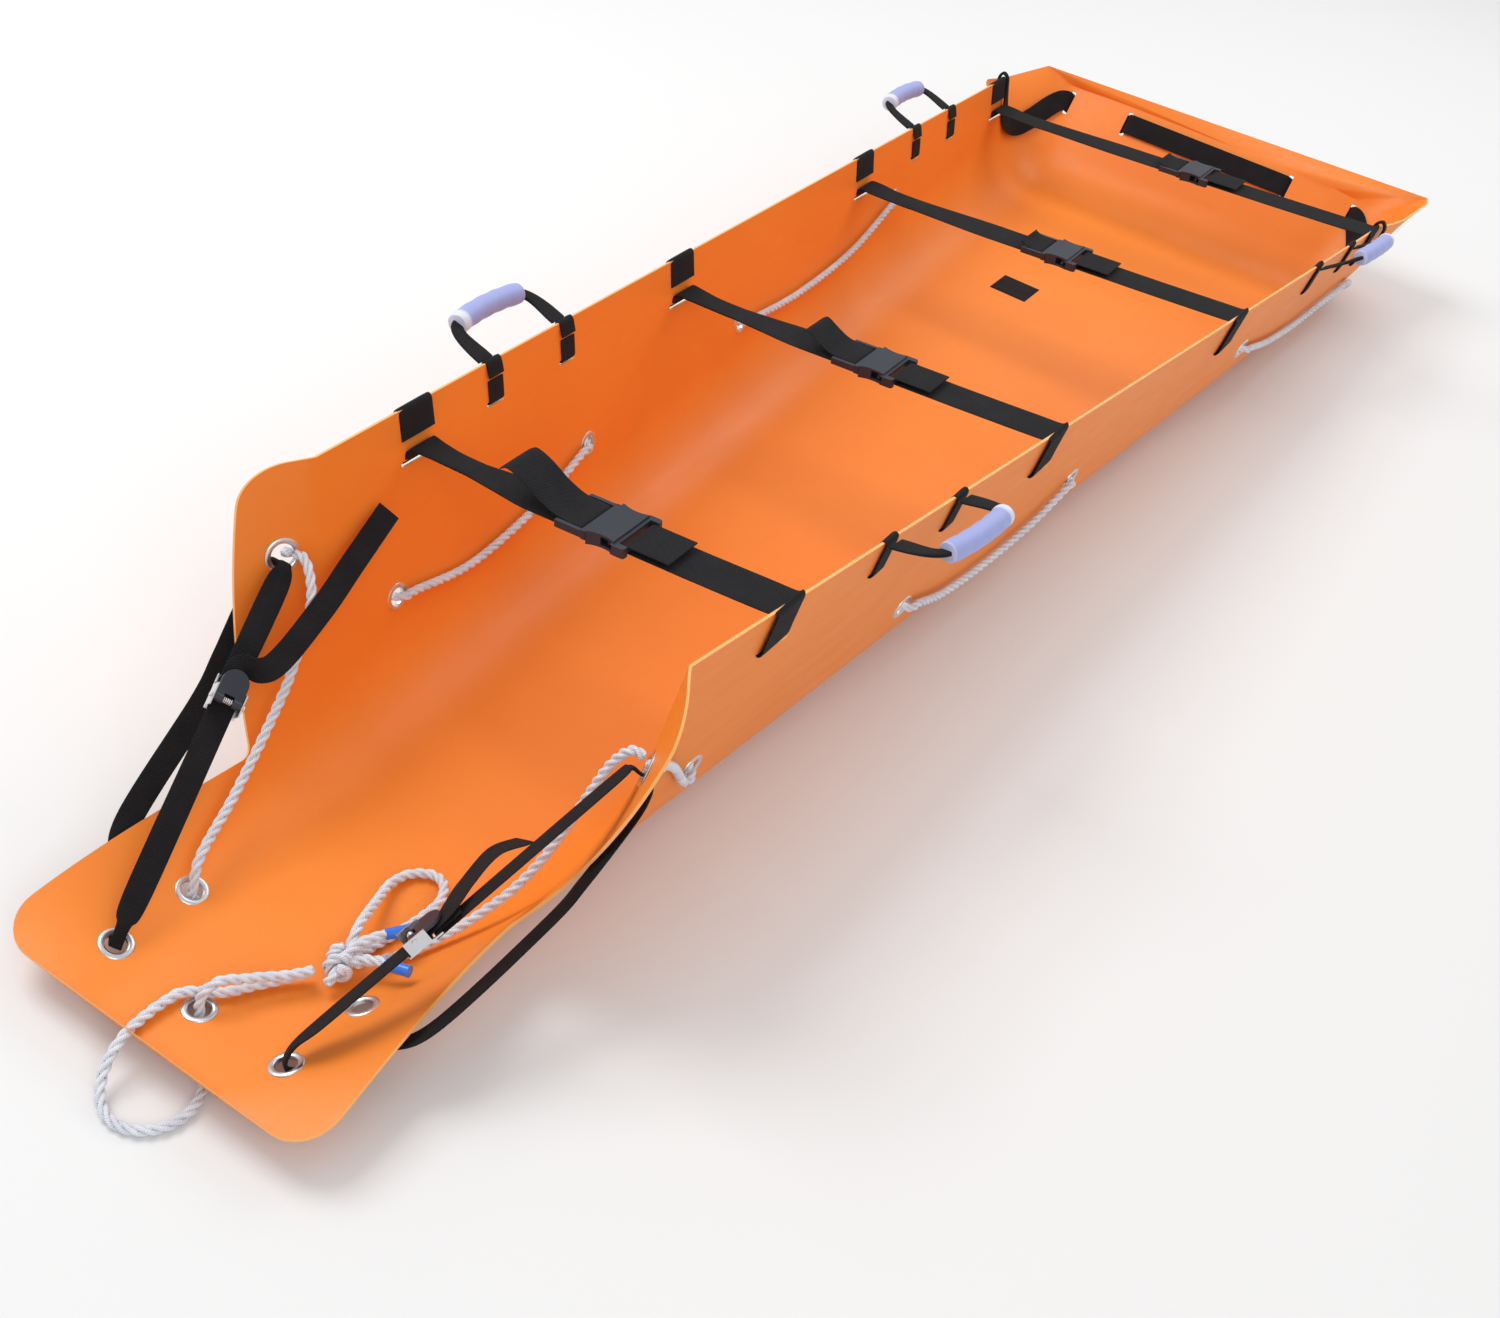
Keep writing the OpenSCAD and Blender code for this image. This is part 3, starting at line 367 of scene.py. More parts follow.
def trough(station, across, inward=0.0):
    """Where a point of the flat sheet goes. Across, it runs flat, then round the bend, then
    straight up the wall at the wall's slope. Along, the tongue rises with the 1.5th power of
    the distance, and the foot curls on a 110 mm radius, less towards the rims. inward moves
    the point off the outer face, along the surface's normal."""
    x, u, n = np.broadcast_arrays(*(np.asarray(v, float) for v in (station, across, inward)))
    side = (u < 0).astype(int)
    slope = np.where(x < loft_x, 7.6 + 72.4 * x / loft_x, 80.0)
    foot = np.array(far_near["foot slope"])[side]
    slope = np.radians(np.where(x > curl_x, 80 + (foot - 80) * (x - curl_x) / (sheet_l - curl_x), slope))
    c = floor_half(x)
    v = np.abs(u) - c
    turned = np.clip(v / 0.1, 0, slope)
    over = np.maximum(v - 0.1 * slope, 0)
    y = c + np.minimum(v, 0) + 0.1 * np.sin(turned) + over * np.cos(slope) - n * np.sin(turned)
    h = 0.1 * (1 - np.cos(turned)) + over * np.sin(slope) + n * np.cos(turned)
    share = np.array(far_near["rim curl"])[side]
    w = np.clip((np.abs(u) - 0.12) / 0.33, 0, 1)
    full = math.radians(56) * (1 - (1 - share) * w * w)
    arc = 0.11 * math.radians(56)
    gone = np.clip(x - curl_x, 0, None)
    tilt = np.minimum(gone / arc, 1) * full
    r = arc / full
    rest = np.maximum(gone - arc, 0)
    lift = 0.026 * np.clip((lift_x - x) / lift_x, 0, None) ** 1.5
    out_x = np.minimum(x, curl_x) + r * np.sin(tilt) + rest * np.cos(tilt)
    out_z = lift + r * (1 - np.cos(tilt)) + rest * np.sin(tilt)
    return np.stack([out_x - h * np.sin(tilt) - half_l, np.sign(u) * y, out_z + h * np.cos(tilt)], -1)


def half_width(x, side):
    """Half width of the flat sheet's outline: tongue with round corners, a notch, a slanted
    edge up to the wall's round corner, the rim, and the foot's cut corner."""
    edge_slope = 0.266 / 0.086
    edge = math.atan(edge_slope)
    tn, tc = 0.015 * math.tan(edge / 2), 0.050 * math.tan(edge / 2)
    cut, foot = far_near["cut from"][side], far_near["half foot"][side]
    return np.select(
        [x < 0.040, x < 0.283 - tn, x < 0.283 + tn * math.cos(edge), x < 0.369 - tc * math.cos(edge),
         x < 0.369 + tc, x < cut],
        [0.144 + np.sqrt(np.clip(x * (0.080 - x), 0, None)), 0.184 + 0 * x,
         0.199 - np.sqrt(np.clip(0.015 ** 2 - (x - 0.283 + tn) ** 2, 0, None)),
         0.184 + (x - 0.283) * edge_slope,
         0.400 + np.sqrt(np.clip(0.050 ** 2 - (x - 0.369 - tc) ** 2, 0, None)), 0.450 + 0 * x],
        0.450 - (0.450 - foot) * (np.clip(x - cut, 0, None) / (sheet_l - cut)) ** 1.4)


strap_x = [0.577 + 0.535 * i for i in range(4)]
rope_holes = [0.517, 0.888, 1.267, 1.767]
handle_x = [[0.783, 1.906], [0.823, 2.016]]
slots = [(x, s * 0.391, 0.029, 0.003) for x in strap_x for s in (1, -1)]
slots += [(x + e * 0.070, s * 0.402, 0.0155, 0.003) for s, row in ((1, handle_x[0]), (-1, handle_x[1]))
          for x in row for e in (-1, 1)]
slots += [(2.400, e * u, 0.021, 0.004) for u in (0.262, 0.150) for e in (-1, 1)]
rope_u = [float(floor_half(np.array(x))) + 0.1 * math.radians(80) + 0.024 for x in rope_holes]
holes = [(x, s * u, 0.0122) for x, u in zip(rope_holes, rope_u) for s in (1, -1)]
holes += [(0.385, s * 0.358, 0.0142) for s in (1, -1)] + [(0.060, u, 0.0122) for u in (0.102, 0, -0.102)]
holes += [(0.150, u, 0.0122) for u in (0.105, -0.105)]

x_edge = np.unique(np.concatenate([0.040 * (1 - np.cos(np.linspace(0, math.pi / 2, 10))),
    np.linspace(0.040, 0.26, 30), np.linspace(0.262, 0.42, 60), np.linspace(0.42, 2.28, 230),
    np.linspace(2.28, sheet_l, 40)]))


def inside_by(points):
    """How far inside the flat outline each point lies, measured across the sheet."""
    x, u = points.T
    return np.where(u > 0, half_width(x, 0), half_width(x, 1)) - np.abs(u)


outline = np.vstack([np.column_stack([x_edge, half_width(x_edge, 0)]),
                     np.column_stack([x_edge, -half_width(x_edge, 1)])[::-1]])
loops = [outline]
for x, u, l, h in slots:
    c = min(h / 2, 0.0015)
    loops.append(np.array([x, u]) + np.array([[-l, -h + c], [-l + c, -h], [l - c, -h], [l, -h + c],
                                              [l, h - c], [l - c, h], [-l + c, h], [-l, h - c]]))
round_hole = np.linspace(0, 2 * math.pi, 40, endpoint=False)
for x, u, r in holes:
    loops.append(np.column_stack([x + r * np.cos(round_hole), u + r * np.sin(round_hole)]))
inside_x, inside_u = np.meshgrid(np.arange(0.004, sheet_l, 0.0105), np.arange(-0.444, 0.446, 0.0095),
                                 indexing="ij")
inner_pts = np.column_stack([inside_x.ravel(), inside_u.ravel()])
clear = inside_by(inner_pts) > 0.004
for x, u, r in holes:
    clear &= np.hypot(inner_pts[:, 0] - x, inner_pts[:, 1] - u) > r + 0.003
for x, u, l, h in slots:
    clear &= (np.abs(inner_pts[:, 0] - x) > l + 0.003) | (np.abs(inner_pts[:, 1] - u) > h + 0.003)
flat = np.vstack(loops + [inner_pts[clear]])
edges, at = [], 0
for loop in loops:
    k = np.arange(len(loop))
    edges += np.column_stack([at + k, at + np.roll(k, -1)]).tolist()
    at += len(loop)
points_2d, _, triangles, _, _, _ = delaunay_2d_cdt(flat.tolist(), edges, [], 0, 1e-6)
flat = np.array([tuple(p) for p in points_2d])
triangles = np.array(triangles)
middle = flat[triangles].mean(1)
keep = inside_by(middle) > 0
for x, u, r in holes:
    keep &= np.hypot(middle[:, 0] - x, middle[:, 1] - u) > r * 0.985
for x, u, l, h in slots:
    keep &= (np.abs(middle[:, 0] - x) > l) | (np.abs(middle[:, 1] - u) > h)
triangles = triangles[keep]
corner_a, corner_b, corner_c = flat[triangles].transpose(1, 0, 2)
turned = np.cross(corner_b - corner_a, corner_c - corner_a) < 0
triangles[turned] = triangles[turned][:, ::-1]
count = len(flat)
half_edges = np.vstack([triangles[:, [0, 1]], triangles[:, [1, 2]], triangles[:, [2, 0]]])
_, back, seen = np.unique(np.sort(half_edges, 1), axis=0, return_inverse=True, return_counts=True)
rim_edges = half_edges[seen[back.ravel()] == 1]
a, b = rim_edges.T
sheet_mesh = bpy.data.meshes.new("trough_sheet")
sheet_points = np.vstack([trough(flat[:, 0], flat[:, 1]), trough(flat[:, 0], flat[:, 1], sheet_t)])
sheet_faces = (triangles[:, ::-1].tolist() + (triangles + count).tolist()
               + np.column_stack([b + count, a + count, a, b]).tolist())
sheet_mesh.from_pydata(sheet_points.tolist(), [], sheet_faces)
corner = np.zeros(len(sheet_mesh.loops), int)
sheet_mesh.loops.foreach_get("vertex_index", corner)
sheet_mesh.uv_layers.new(name="lay").data.foreach_set("uv", flat[corner % count].astype(np.float32).ravel())
on_edge = np.arange(len(sheet_faces)) >= 2 * len(triangles)
sheet_mesh.attributes.new("cut_edge", "FLOAT", "FACE").data.foreach_set("value", on_edge.astype(np.float32))
sheet_mesh.polygons.foreach_set("use_smooth", [True] * len(sheet_faces))
sheet_mesh.set_sharp_from_angle(angle=math.radians(40))
trough_sheet = bpy.data.objects.new("trough_sheet", sheet_mesh)
bpy.context.scene.collection.objects.link(trough_sheet)

sheet_finish, nodes, links, shader = finish_of("orange_sheet", (0.90, 0.25, 0.028), 0.40)
shader.inputs["Specular IOR Level"].default_value = 0.35
shader.inputs["Subsurface Weight"].default_value = 0.08
shader.inputs["Subsurface Radius"].default_value = (0.006, 0.002, 0.001)
mottle = grain(nodes, links, 5.0, detail=4.0)
ramp = colour_mix(nodes, links, mottle, (0.84, 0.215, 0.022), (0.94, 0.275, 0.034),
                  shader.inputs["Base Color"])
edge = nodes.new("ShaderNodeAttribute")
edge.attribute_name = "cut_edge"
pale = nodes.new("ShaderNodeMix")
pale.data_type = "RGBA"
pale.inputs["B"].default_value = (0.97, 0.46, 0.14, 1)
links.new(edge.outputs["Fac"], pale.inputs["Factor"])
links.new(ramp.outputs["Color"], pale.inputs["A"])
links.new(pale.outputs["Result"], shader.inputs["Base Color"])
links.new(grain(nodes, links, 34.0, 0.30, 0.54, 6.0, (0.35, 2.2, 2.2)), shader.inputs["Roughness"])
bump(nodes, links, shader, math_node(nodes, links, "ADD", math_node(nodes, links, "MULTIPLY", mottle, 6.0),
     grain(nodes, links, 420.0, detail=2.0)), 0.00012)
sheet_mesh.materials.append(sheet_finish)
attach(trough_sheet, "stretcher")
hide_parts("sheet")

# Side rope: one length laced along both walls and round under the foot curl. It passes in and
# out through the wall grommets, so that the whole stretcher hangs from it when it is lifted.
rope_out = -0.0076
rope_in = sheet_t - rope_out
side_run = [[0.3902, 0.358, 0.006], [0.3902, 0.358, -0.002], [0.3942, 0.356, -0.009], [0.4082, 0.346, -0.009],
            [0.460, 0.296, -0.008]]


def pierce(i, way):
    """The rope's five stops through wall grommet i; way is 1 going inwards."""
    x, u, m = rope_holes[i], rope_u[i], sheet_t / 2
    g = way * (rope_in - m)
    return [[x - 0.022, u, m - g], [x - 0.009, u, m - g], [x, u, m],
            [x + 0.009, u, m + g], [x + 0.022, u, m + g]]


side_run += pierce(0, 1) + [[0.640, 0.236, rope_in], [0.770, 0.252, rope_in]] + pierce(1, -1)
side_run += [[0.980, 0.262, rope_out], [1.077, 0.262, rope_out], [1.174, 0.280, rope_out]] + pierce(2, 1)
side_run += [[1.430, 0.306, rope_in], [1.600, 0.318, rope_in]] + pierce(3, -1)
side_run += [[x, u, rope_out] for x, u in [
    (1.870, 0.338), (1.980, 0.332), (2.090, 0.342), (2.190, 0.352), (2.225, 0.340), (2.255, 0.312),
    (2.280, 0.270), (2.294, 0.220), (2.300, 0.150), (2.302, 0.070)]]
side_run = np.array(side_run)
far_run = trough(*side_run.T)
near_run = trough(side_run[:, 0], -side_run[:, 1], side_run[:, 2])[::-1]
side_rope, _, _ = laid_rope("side_rope_laid", np.vstack([far_run, near_run]), step=0.0028, sides=24)
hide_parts("side_rope")

# Pressed steel eyelets: in the walls for the rope, in the tongue for the bridle and straps.
eyelet_finish, nodes, links, shader = finish_of("grommet_steel", (0.74, 0.74, 0.76), 0.28, metal=1.0)
links.new(grain(nodes, links, 180.0, 0.2, 0.4), shader.inputs["Roughness"])
for node in ("tongue_grommets", "open_grommet", "wall_grommets"):
    frame["nodes"][node].data.materials.clear()
    frame["nodes"][node].data.materials.append(eyelet_finish)

# Webbing: black polyester, woven with fine ribs across it and a rounded edge. Patient straps
# are 50 mm wide; each far half passes through its slot, over the rim and back on itself, and
# carries the buckle's plug and the loose tail; each near half is sewn to the socket.
webbing_finish, nodes, links, shader = finish_of("black_webbing", (0.007, 0.007, 0.009), 0.85, sheen=0.02)
shader.inputs["Specular IOR Level"].default_value = 0.25
across, along = split_lay(nodes, links)
ribs = math_node(nodes, links, "SINE", math_node(nodes, links, "MULTIPLY", along, 2 * math.pi / 0.0022))
rows = math_node(nodes, links, "SINE", math_node(nodes, links, "MULTIPLY", across, 2 * math.pi / 0.0028))
weave = math_node(nodes, links, "ADD", math_node(nodes, links, "MULTIPLY", ribs, rows),
                  math_node(nodes, links, "MULTIPLY", ribs, 0.35))
bump(nodes, links, shader, weave, 0.0004)
colour_mix(nodes, links, math_node(nodes, links, "ADD", math_node(nodes, links, "MULTIPLY", weave, 0.25),
    grain(nodes, links, 40.0)), (0.003, 0.003, 0.004), (0.014, 0.014, 0.017), shader.inputs["Base Color"])
webbing_t = 0.0018


def band(name, stops, body="stretcher", thick=webbing_t, step=0.0025, sides=28):
    """Webbing along stops of point, direction across it, and width. The section is a flat
    oval with round edges, which keeps its area where the webbing is gathered."""
    path, s = smooth_path(stops, step)
    p, width = path[:, :3], path[:, 6]
    t = unit(np.gradient(p, axis=0))
    w = unit(path[:, 3:6] - np.sum(path[:, 3:6] * t, 1, keepdims=True) * t)
    n = np.cross(t, w)
    angle = np.linspace(0, 2 * math.pi, sides, endpoint=False)
    cx = np.sign(np.cos(angle)) * np.abs(np.cos(angle)) ** 0.55
    cz = np.sign(np.sin(angle)) * np.abs(np.sin(angle)) ** 0.35
    x = (width[:, None] / 2) * cx
    depth = thick * np.minimum(width.max() / width, 2.4)[:, None]
    z = depth / 2 * cz
    grid = p[:, None] + x[..., None] * w[:, None] + z[..., None] * n[:, None]
    piece = surface(name, grid, x, s, webbing_finish, body)
    return piece, s[-1]


def stops_of(points, across, widths):
    """Rows of point, across direction and width for band()."""
    points = np.asarray(points, float)
    across = np.broadcast_to(across, points.shape)
    return np.column_stack([points, across, np.broadcast_to(widths, len(points))])


tail_shapes = [[(0.109, 0.030), (0.100, 0.034), (0.082, 0.027), (0.062, 0.014), (0.044, 0.006),
                (0.030, 0.0036)],
               [(0.082, 0.020), (0.076, 0.022), (0.062, 0.014), (0.046, 0.006), (0.030, 0.0036)],
               [(0.042, 0.010), (0.036, 0.0065), (0.026, 0.0036)],
               [(0.044, 0.008), (0.036, 0.0055), (0.026, 0.0036)]]
gathered = [0.028, 0.031, 0.038, 0.041]
buckle_plastic, nodes, links, shader = finish_of("buckle_plastic", (0.040, 0.048, 0.075), 0.42)
bump(nodes, links, shader, grain(nodes, links, 900.0, detail=2.0), 0.0001)
colour_mix(nodes, links, grain(nodes, links, 25.0), (0.012, 0.015, 0.026), (0.026, 0.031, 0.048),
           shader.inputs["Base Color"])


def softened(node, finish, body, edge=0.0006):
    """A copy of a rigid part with its flat faces joined up and its edges rounded."""
    mesh = frame["nodes"][node].data.copy()
    mesh.materials.clear()
    mesh.materials.append(finish)
    work = bmesh.new()
    work.from_mesh(mesh)
    bmesh.ops.remove_doubles(work, verts=work.verts, dist=1e-6)
    bmesh.ops.dissolve_limit(work, angle_limit=math.radians(1), verts=work.verts, edges=work.edges)
    work.to_mesh(mesh)
    work.free()
    piece = bpy.data.objects.new(f"{node}_soft", mesh)
    bpy.context.scene.collection.objects.link(piece)
    rounding = piece.modifiers.new("rounding", "BEVEL")
    rounding.width, rounding.segments = edge, 2
    rounding.limit_method, rounding.angle_limit = "ANGLE", math.radians(35)
    rounding.harden_normals = True
    mesh.polygons.foreach_set("use_smooth", [True] * len(mesh.polygons))
    mesh.set_sharp_from_angle(angle=math.radians(35))
    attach(piece, body)
    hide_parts(node)


for i, x in enumerate(strap_x):
    far_end = trough(x, 0.406, 0.005)
    near_end = trough(x, -0.449, 0.005)
    to_far = unit(far_end - near_end)
    up = np.cross([1.0, 0, 0], to_far)
    buckle_at = far_end + (near_end - far_end) * 0.53
    far_y = float((far_end - buckle_at) @ to_far)
    near_y = float((buckle_at - near_end) @ to_far)

    def on_strap(pairs):
        """Points given along the strap from the buckle and up from its middle."""
        pairs = np.asarray(pairs, float)
        return buckle_at + pairs[:, :1] * to_far + pairs[:, 1:] * up

    def on_wall(side, rows):
        """Points given as distance across the sheet and inwards, on the wall at this strap."""
        rows = np.asarray(rows, float)
        return trough(x, side * rows[:, 0], rows[:, 1])

    loop = on_strap(tail_shapes[i] + [
        (0.016, 0.0033), (0.0105, 0.0026), (0.0091, 0), (0.0105, -0.0027), (0.016, -0.0033),
        (0.040, -0.0033), (far_y * 0.36, -0.0033), (far_y * 0.52, -0.0033), (far_y * 0.68, -0.0031),
        (far_y - 0.075, -0.0030)])
    pinch = on_strap([(far_y - 0.045, -0.002), (far_y - 0.022, 0.0)])
    rim = on_wall(1, [
        (0.4065, 0.0078), (0.398, 0.0046), (0.3922, 0.0015), (0.397, -0.0022), (0.412, -0.0022),
        (0.436, -0.0022), (0.4485, -0.0018), (0.4522, 0.0015), (0.4485, 0.0048), (0.436, 0.0052),
        (0.418, 0.0056)])
    slack = gathered[i]
    widths = ([0.049] * (len(loop) - 3) + [0.5 * (0.049 + slack), slack, slack] + [slack, slack + 0.004]
              + [0.040, 0.046] + [0.050] * (len(rim) - 2))
    far_stops = stops_of(np.vstack([loop, pinch, rim]), [1.0, 0, 0], widths)
    far_band, _ = band(f"strap_{i + 1}_far_band", far_stops)
    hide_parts(f"strap_{i + 1}_far_webbing")
    socket = on_strap([
        (-0.092, 0.0034), (-0.070, 0.0034), (-0.048, 0.0034), (-0.042, 0.0031), (-0.0387, 0),
        (-0.042, -0.0031), (-0.048, -0.0034), (-0.090, -0.0034), (-near_y * 0.55, -0.0033),
        (-near_y + 0.030, -0.0025)])
    rim = on_wall(-1, [
        (0.4470, 0.0058), (0.4525, 0.0015), (0.4485, -0.0020), (0.436, -0.0022), (0.412, -0.0022),
        (0.397, -0.0022), (0.3922, 0.0015), (0.398, 0.0052), (0.415, 0.0052), (0.432, 0.0054)])
    near_band, _ = band(f"strap_{i + 1}_near_band", stops_of(np.vstack([socket, rim]), [1.0, 0, 0],
                        [0.049] * 4 + [0.049] * 6 + [0.048] * 10))
    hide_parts(f"strap_{i + 1}_near_webbing")
    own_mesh(near_band)
    softened(f"strap_{i + 1}_plug", buckle_plastic, "stretcher")
    softened(f"strap_{i + 1}_socket", buckle_plastic, f"buckle_socket_{i + 1}", 0.0009)

# Carry handles: a loop of 25 mm webbing hung from two slots below the rim, its middle pushed
# through a soft lilac sleeve that bows with the load. Each swings about the rim.
sleeve_finish, nodes, links, shader = finish_of("grip_sleeve", (0.36, 0.40, 0.72), 0.55, sheen=0.1)
round_about, length = split_lay(nodes, links)
bump(nodes, links, shader, grain(nodes, links, 300.0), 0.00025)
far_off = math_node(nodes, links, "ABSOLUTE", math_node(nodes, links, "SUBTRACT", length, 0.064))
pale = math_node(nodes, links, "MULTIPLY", math_node(nodes, links, "SUBTRACT", far_off, 0.050), 180.0)
colour_mix(nodes, links, pale, (0.33, 0.37, 0.70), (0.70, 0.72, 0.86), shader.inputs["Base Color"])
swings = {j["child"]: j for j in frame["joints"]}
for side, name in enumerate(("far", "near")):
    for end, place in enumerate(("front", "rear")):
        body = f"{name}_{place}_handle"
        swing = swings[body]
        e = unit(swing["axis"])
        hinge = np.array(swing["pos_m"])
        low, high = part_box(f"{body}_grip")
        d = (np.array(low) + np.array(high)) / 2 - hinge
        d = unit(d - (d @ e) * e)
        x = handle_x[side][end]

        def in_loop(pairs):
            """Points given along the swing axis and out towards the grip."""
            pairs = np.asarray(pairs, float)
            return hinge + pairs[:, :1] * e + pairs[:, 1:] * d

        legs = np.array([
            (-0.0700, 0.001), (-0.0700, 0.010), (-0.0700, 0.022), (-0.0685, 0.036), (-0.0640, 0.0465),
            (-0.0560, 0.0520), (-0.0400, 0.0545), (0, 0.0565)])
        legs = np.vstack([legs, (legs * [-1, 1])[-2::-1]])
        tangent = np.gradient(legs, axis=0)
        sideways = unit(tangent[:, :1] * d - tangent[:, 1:] * e)
        widths = [0.025, 0.025, 0.023, 0.019, 0.015, 0.013, 0.012, 0.012]
        loop_stops = stops_of(in_loop(legs), sideways, widths + widths[-2::-1])
        loop_band, _ = band(f"{body}_loop", loop_stops, body=body, thick=0.0028)
        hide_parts(f"{body}_webbing")
        share = np.linspace(-1, 1, 9)
        bow_of_grip = in_loop(np.column_stack([0.058 * share, 0.0525 + 0.0045 * (1 - share ** 2)]))
        path, s = smooth_path(bow_of_grip, 0.002)
        mouth = np.clip(np.minimum(s, s[-1] - s) / 0.004, 0, 1)
        radius = 0.0105 + 0.0015 * np.sqrt(1 - (1 - mouth) ** 2) + 0.0003 * np.sin(s * 260)
        sleeve = tube_along(f"{body}_sleeve", path, s, radius, sleeve_finish, body)
        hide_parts(f"{body}_grip")
        for k, shift in enumerate((-0.070, 0.070)):
            at = x + shift
            ring = np.array([
                (0.430, 0.0052), (0.412, 0.0050), (0.4045, 0.0046), (0.4018, 0.0015), (0.4045, -0.0016),
                (0.412, -0.0020), (0.430, -0.0020), (0.4480, -0.0020), (0.4520, 0.0015),
                (0.4480, 0.0050), (0.434, 0.0072)])
            points = trough(at, (1, -1)[side] * ring[:, 0], ring[:, 1])
            rim_loop, _ = band(f"{body}_rim_loop_{k + 1}", stops_of(points, [1.0, 0, 0], 0.0245))
            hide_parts(f"{body}_anchor")

# Head straps: 25 mm webbing with a steel cam buckle on each side, from the wall grommet to the
# tongue. The webbing bunches through the eyelets, and its free tail leaves the cam.
cam_from, cam_to = trough(0.060, 0.102, 0.014), trough(0.381, 0.358, 0.015)
cam_dir = unit(cam_to - cam_from)
cam_norm = unit(np.cross(cam_dir, np.cross([0, -0.6, 0.8], cam_dir)))
cam_across = np.cross(cam_norm, cam_dir)
tails = [np.array([[-890, 152, 166], [-822, 158, 188], [-760, 172, 206], [-690, 190, 222]]) / 1000,
         np.array([[-950, 134, 128], [-905, 128, 126], [-868, 134, 116]]) / 1000]
steel_finish, nodes, links, shader = finish_of("cam_steel", (0.70, 0.70, 0.72), 0.33, metal=1.0)
links.new(grain(nodes, links, 120.0, 0.2, 0.45, 3.0, (1, 6, 1)), shader.inputs["Roughness"])
for side, name in enumerate(("far", "near")):
    cam_at = cam_from + (0.60, 0.37)[side] * (cam_to - cam_from)

    def by_cam(along, up):
        """A point given along the strap from the cam's pin and up from the frame's base."""
        return cam_at + along * cam_dir + up * cam_norm

    rows = [(by_cam(a, up), 0.0245) for a, up in [
        (0.045, 0.0010), (0.032, 0.0008), (0.0205, 0.0005), (0.0174, -0.0016), (0.0205, -0.0036),
        (0.034, -0.0037)]]
    rows += [(cam_to - 0.030 * cam_dir, 0.0245), (cam_to - 0.008 * cam_dir, 0.012)]
    rows += [(trough(*place), width) for *place, width in [
        (0.379, 0.352, 0.008, 0.012), (0.379, 0.352, -0.005, 0.012), (0.370, 0.343, -0.009, 0.014),
        (0.352, 0.326, -0.007, 0.022), (0.306, 0.280, -0.005, 0.0245), (0.268, 0.250, -0.006, 0.0245),
        (0.152, 0.192, -0.009, 0.0245), (0.118, 0.160, -0.006, 0.0245), (0.088, 0.130, -0.006, 0.020),
        (0.070, 0.112, -0.006, 0.012), (0.061, 0.103, -0.004, 0.012), (0.060, 0.102, 0.006, 0.012)]]
    rows += [(cam_from + 0.012 * cam_dir, 0.013), (cam_from + 0.040 * cam_dir, 0.0245)]
    rows += [(by_cam(a, up), 0.0245) for a, up in [
        (-0.030, 0.0009), (0.005, 0.0009), (0.017, 0.0031), (0.036, 0.0050)]]
    rows += [(q, 0.0245) for q in tails[side]]
    stops = stops_of([p for p, _ in rows], cam_across, [w for _, w in rows])
    if side:
        stops[:, [1, 4]] *= -1
    head_band, _ = band(f"{name}_head_band", stops, thick=0.0016)
    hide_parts(f"{name}_head_webbing")
    softened(f"{name}_head_cam_frame", steel_finish, "stretcher", 0.0003)
    softened(f"{name}_head_cam_lever", buckle_plastic, f"{name}_head_cam_lever", 0.0005)
    for part in ("pin", "spring"):
        frame["nodes"][f"{name}_head_cam_{part}"].data.materials.clear()
        frame["nodes"][f"{name}_head_cam_{part}"].data.materials.append(steel_finish)

# Foot strap: 34 mm webbing gathered over both rims and threaded through slots in the foot
# edge, which holds the curl up and the corners together.
foot_rim = [[2213.5, 424, -7.6, 9], [2213.5, 440, -7.6, 9], [2213.5, 451, -6.8, 9], [2213.5, 458.5, 0.4, 9],
            [2213.5, 451, 7.6, 9], [2214.5, 437, 8, 10], [2218, 421, 8.8, 14], [2226, 405, 9.6, 21],
            [2239, 390, 10, 28], [2254, 377, 10, 32]]
foot_edge = [[2270, 365, 10], [2286, 355, 10], [2302, 345, 10], [2318, 335, 10], [2333, 324, 10],
             [2348, 313, 10], [2364, 303, 9.6], [2378, 294, 9.4], [2389, 285.5, 9.2], [2397, 277, 8.6],
             [2400, 268.6, 7], [2400, 263.2, 3.4], [2400, 260.2, -1], [2400, 255, -5.4], [2400, 232, -6],
             [2400, 206, -6.4], [2400, 180, -6], [2400, 157, -5.4], [2400, 151.4, -1],
             [2400, 148.6, 3.4], [2400, 143, 7.6], [2400, 110, 8], [2400, 50, 8]]
foot_rows = np.array(foot_rim + [[*row, 34] for row in foot_edge]) / 1000
rim_at = np.concatenate([np.full(len(foot_rim), curl_x - 0.009), foot_rows[len(foot_rim):, 0]])


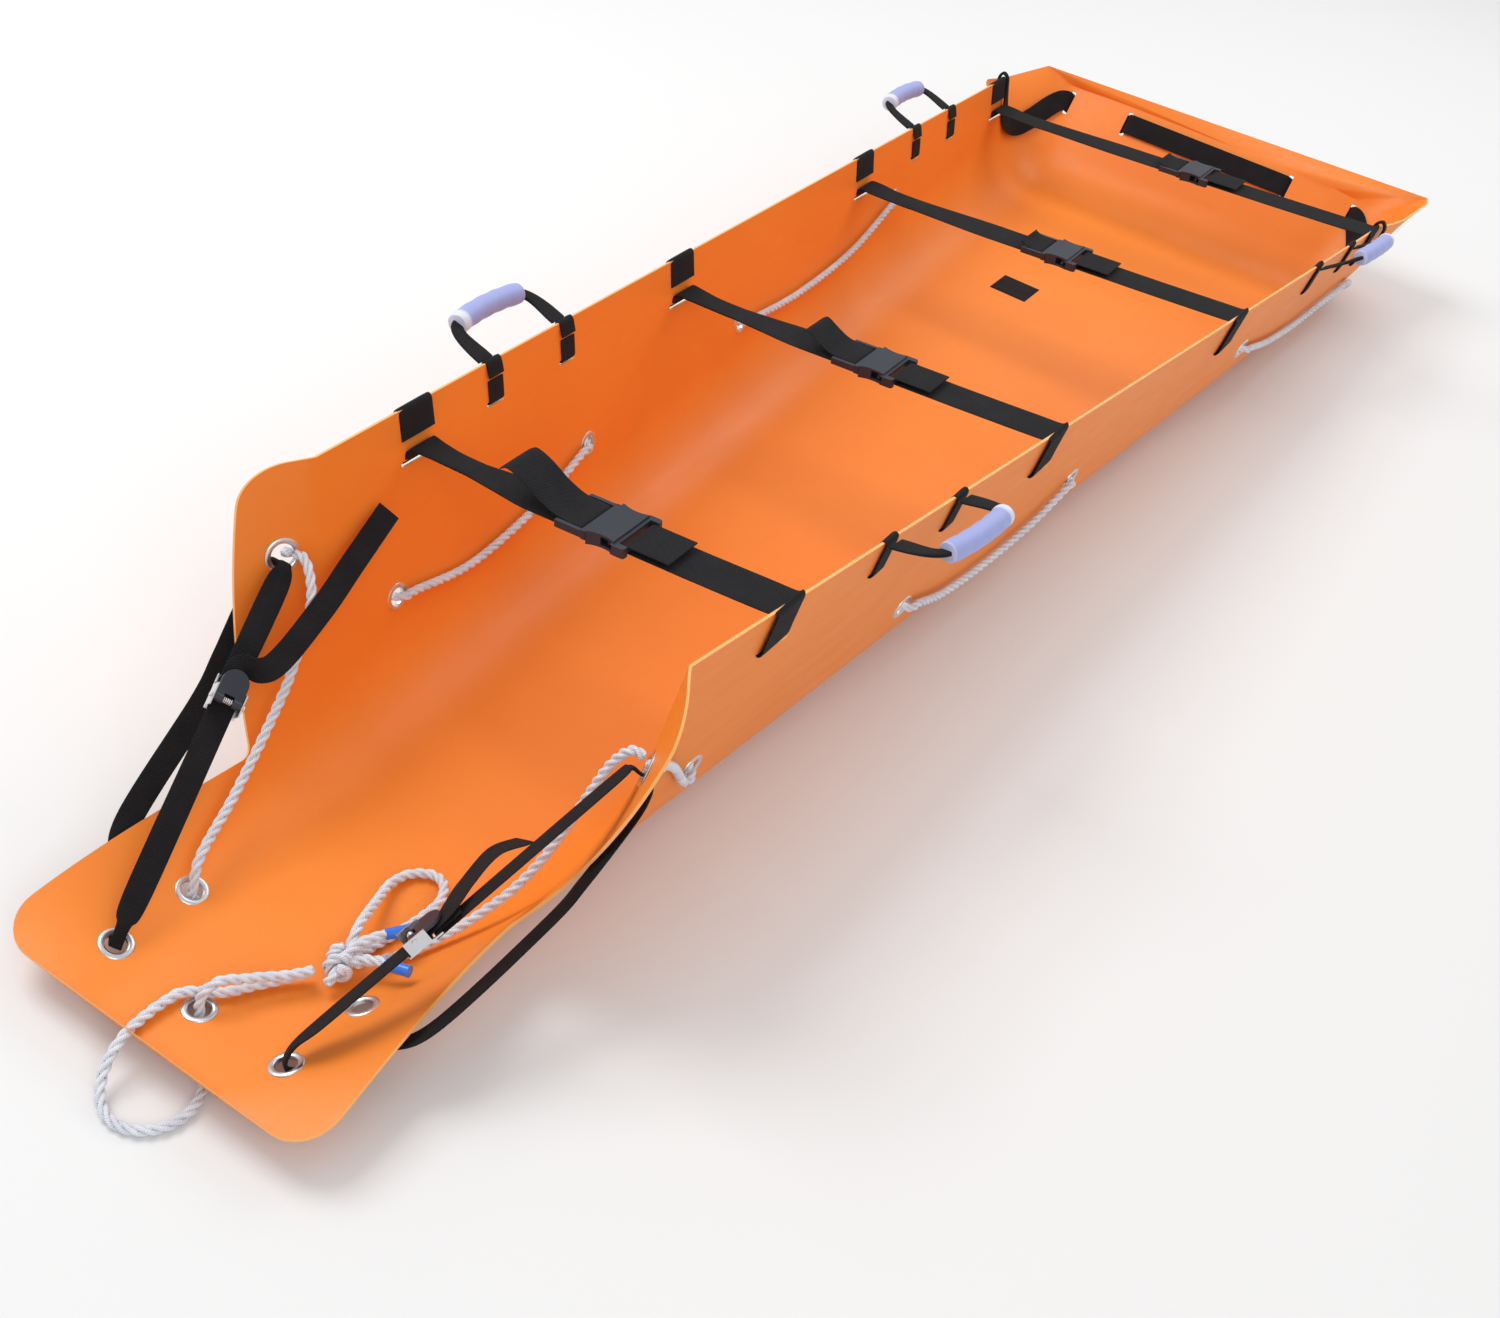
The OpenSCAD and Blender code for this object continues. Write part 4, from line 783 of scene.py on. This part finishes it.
def foot_side(way):
    """The strap's stops on one side. Its width runs along the rim, measured just before the
    curl where the strap crosses the rim, and at the strap's own station past that."""
    x, u, n, width = foot_rows.T
    rim = unit(trough(rim_at + 0.001, way * u) - trough(rim_at - 0.001, way * u))
    return np.column_stack([trough(x, way * u, n), rim, width])


foot_band, _ = band("foot_band", np.vstack([foot_side(1), foot_side(-1)[::-1]]))
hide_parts("foot_strap")

# A thin dark rectangle in the webbing's black finish on the floor of the trough near the foot, and the floor
# and lights of the room.
patch_x, patch_u = (1.828, 1.884), (0.062, 0.124)
patch_rows, patch_cols = np.meshgrid(np.linspace(*patch_x, 15), np.linspace(*patch_u, 15), indexing="ij")
from_edge = np.min([patch_rows - patch_x[0], patch_x[1] - patch_rows,
                    patch_cols - patch_u[0], patch_u[1] - patch_cols], axis=0)
patch_lift = sheet_t + 0.0002 + np.where(from_edge > 0.001, 0.0014, 0)
patch = surface("floor_patch", trough(patch_rows, patch_cols, patch_lift), patch_cols, patch_rows[:, 0],
                webbing_finish, "stretcher", round_about=False)

floor_finish, nodes, links, shader = finish_of("pale_floor", (0.80, 0.80, 0.80), 0.75)
bpy.ops.mesh.primitive_plane_add(size=40)
ground = bpy.context.object
ground.name = "ground"
ground.data.materials.append(floor_finish)
world = bpy.data.worlds.new("studio")
bpy.context.scene.world = world
world.use_nodes = True
world.node_tree.nodes["Background"].inputs["Color"].default_value = (1, 1, 1, 1)
world.node_tree.nodes["Background"].inputs["Strength"].default_value = 0.62
lamps = [("key", (-0.5, 2.2, 3.2), 78, 2.0), ("fill", (-2.6, -2.4, 2.6), 34, 2.2),
         ("foot", (2.6, -0.4, 2.4), 24, 1.8)]
for name, at, power, size in lamps:
    lamp = bpy.data.lights.new(name, "AREA")
    lamp.energy, lamp.size = power, size
    made = bpy.data.objects.new(name, lamp)
    bpy.context.scene.collection.objects.link(made)
    z = unit(np.array(at) - np.array([0.1, 0, 0.1]))
    x_axis = unit(np.cross([0.01, 1, 0.02], z))
    axes = np.column_stack([x_axis, np.cross(z, x_axis), z]).tolist()
    made.matrix_world = Matrix([[*row, p] for row, p in zip(axes, at)] + [[0, 0, 0, 1]])
bpy.context.scene.view_settings.view_transform = "Standard"

bpy.context.view_layer.update()
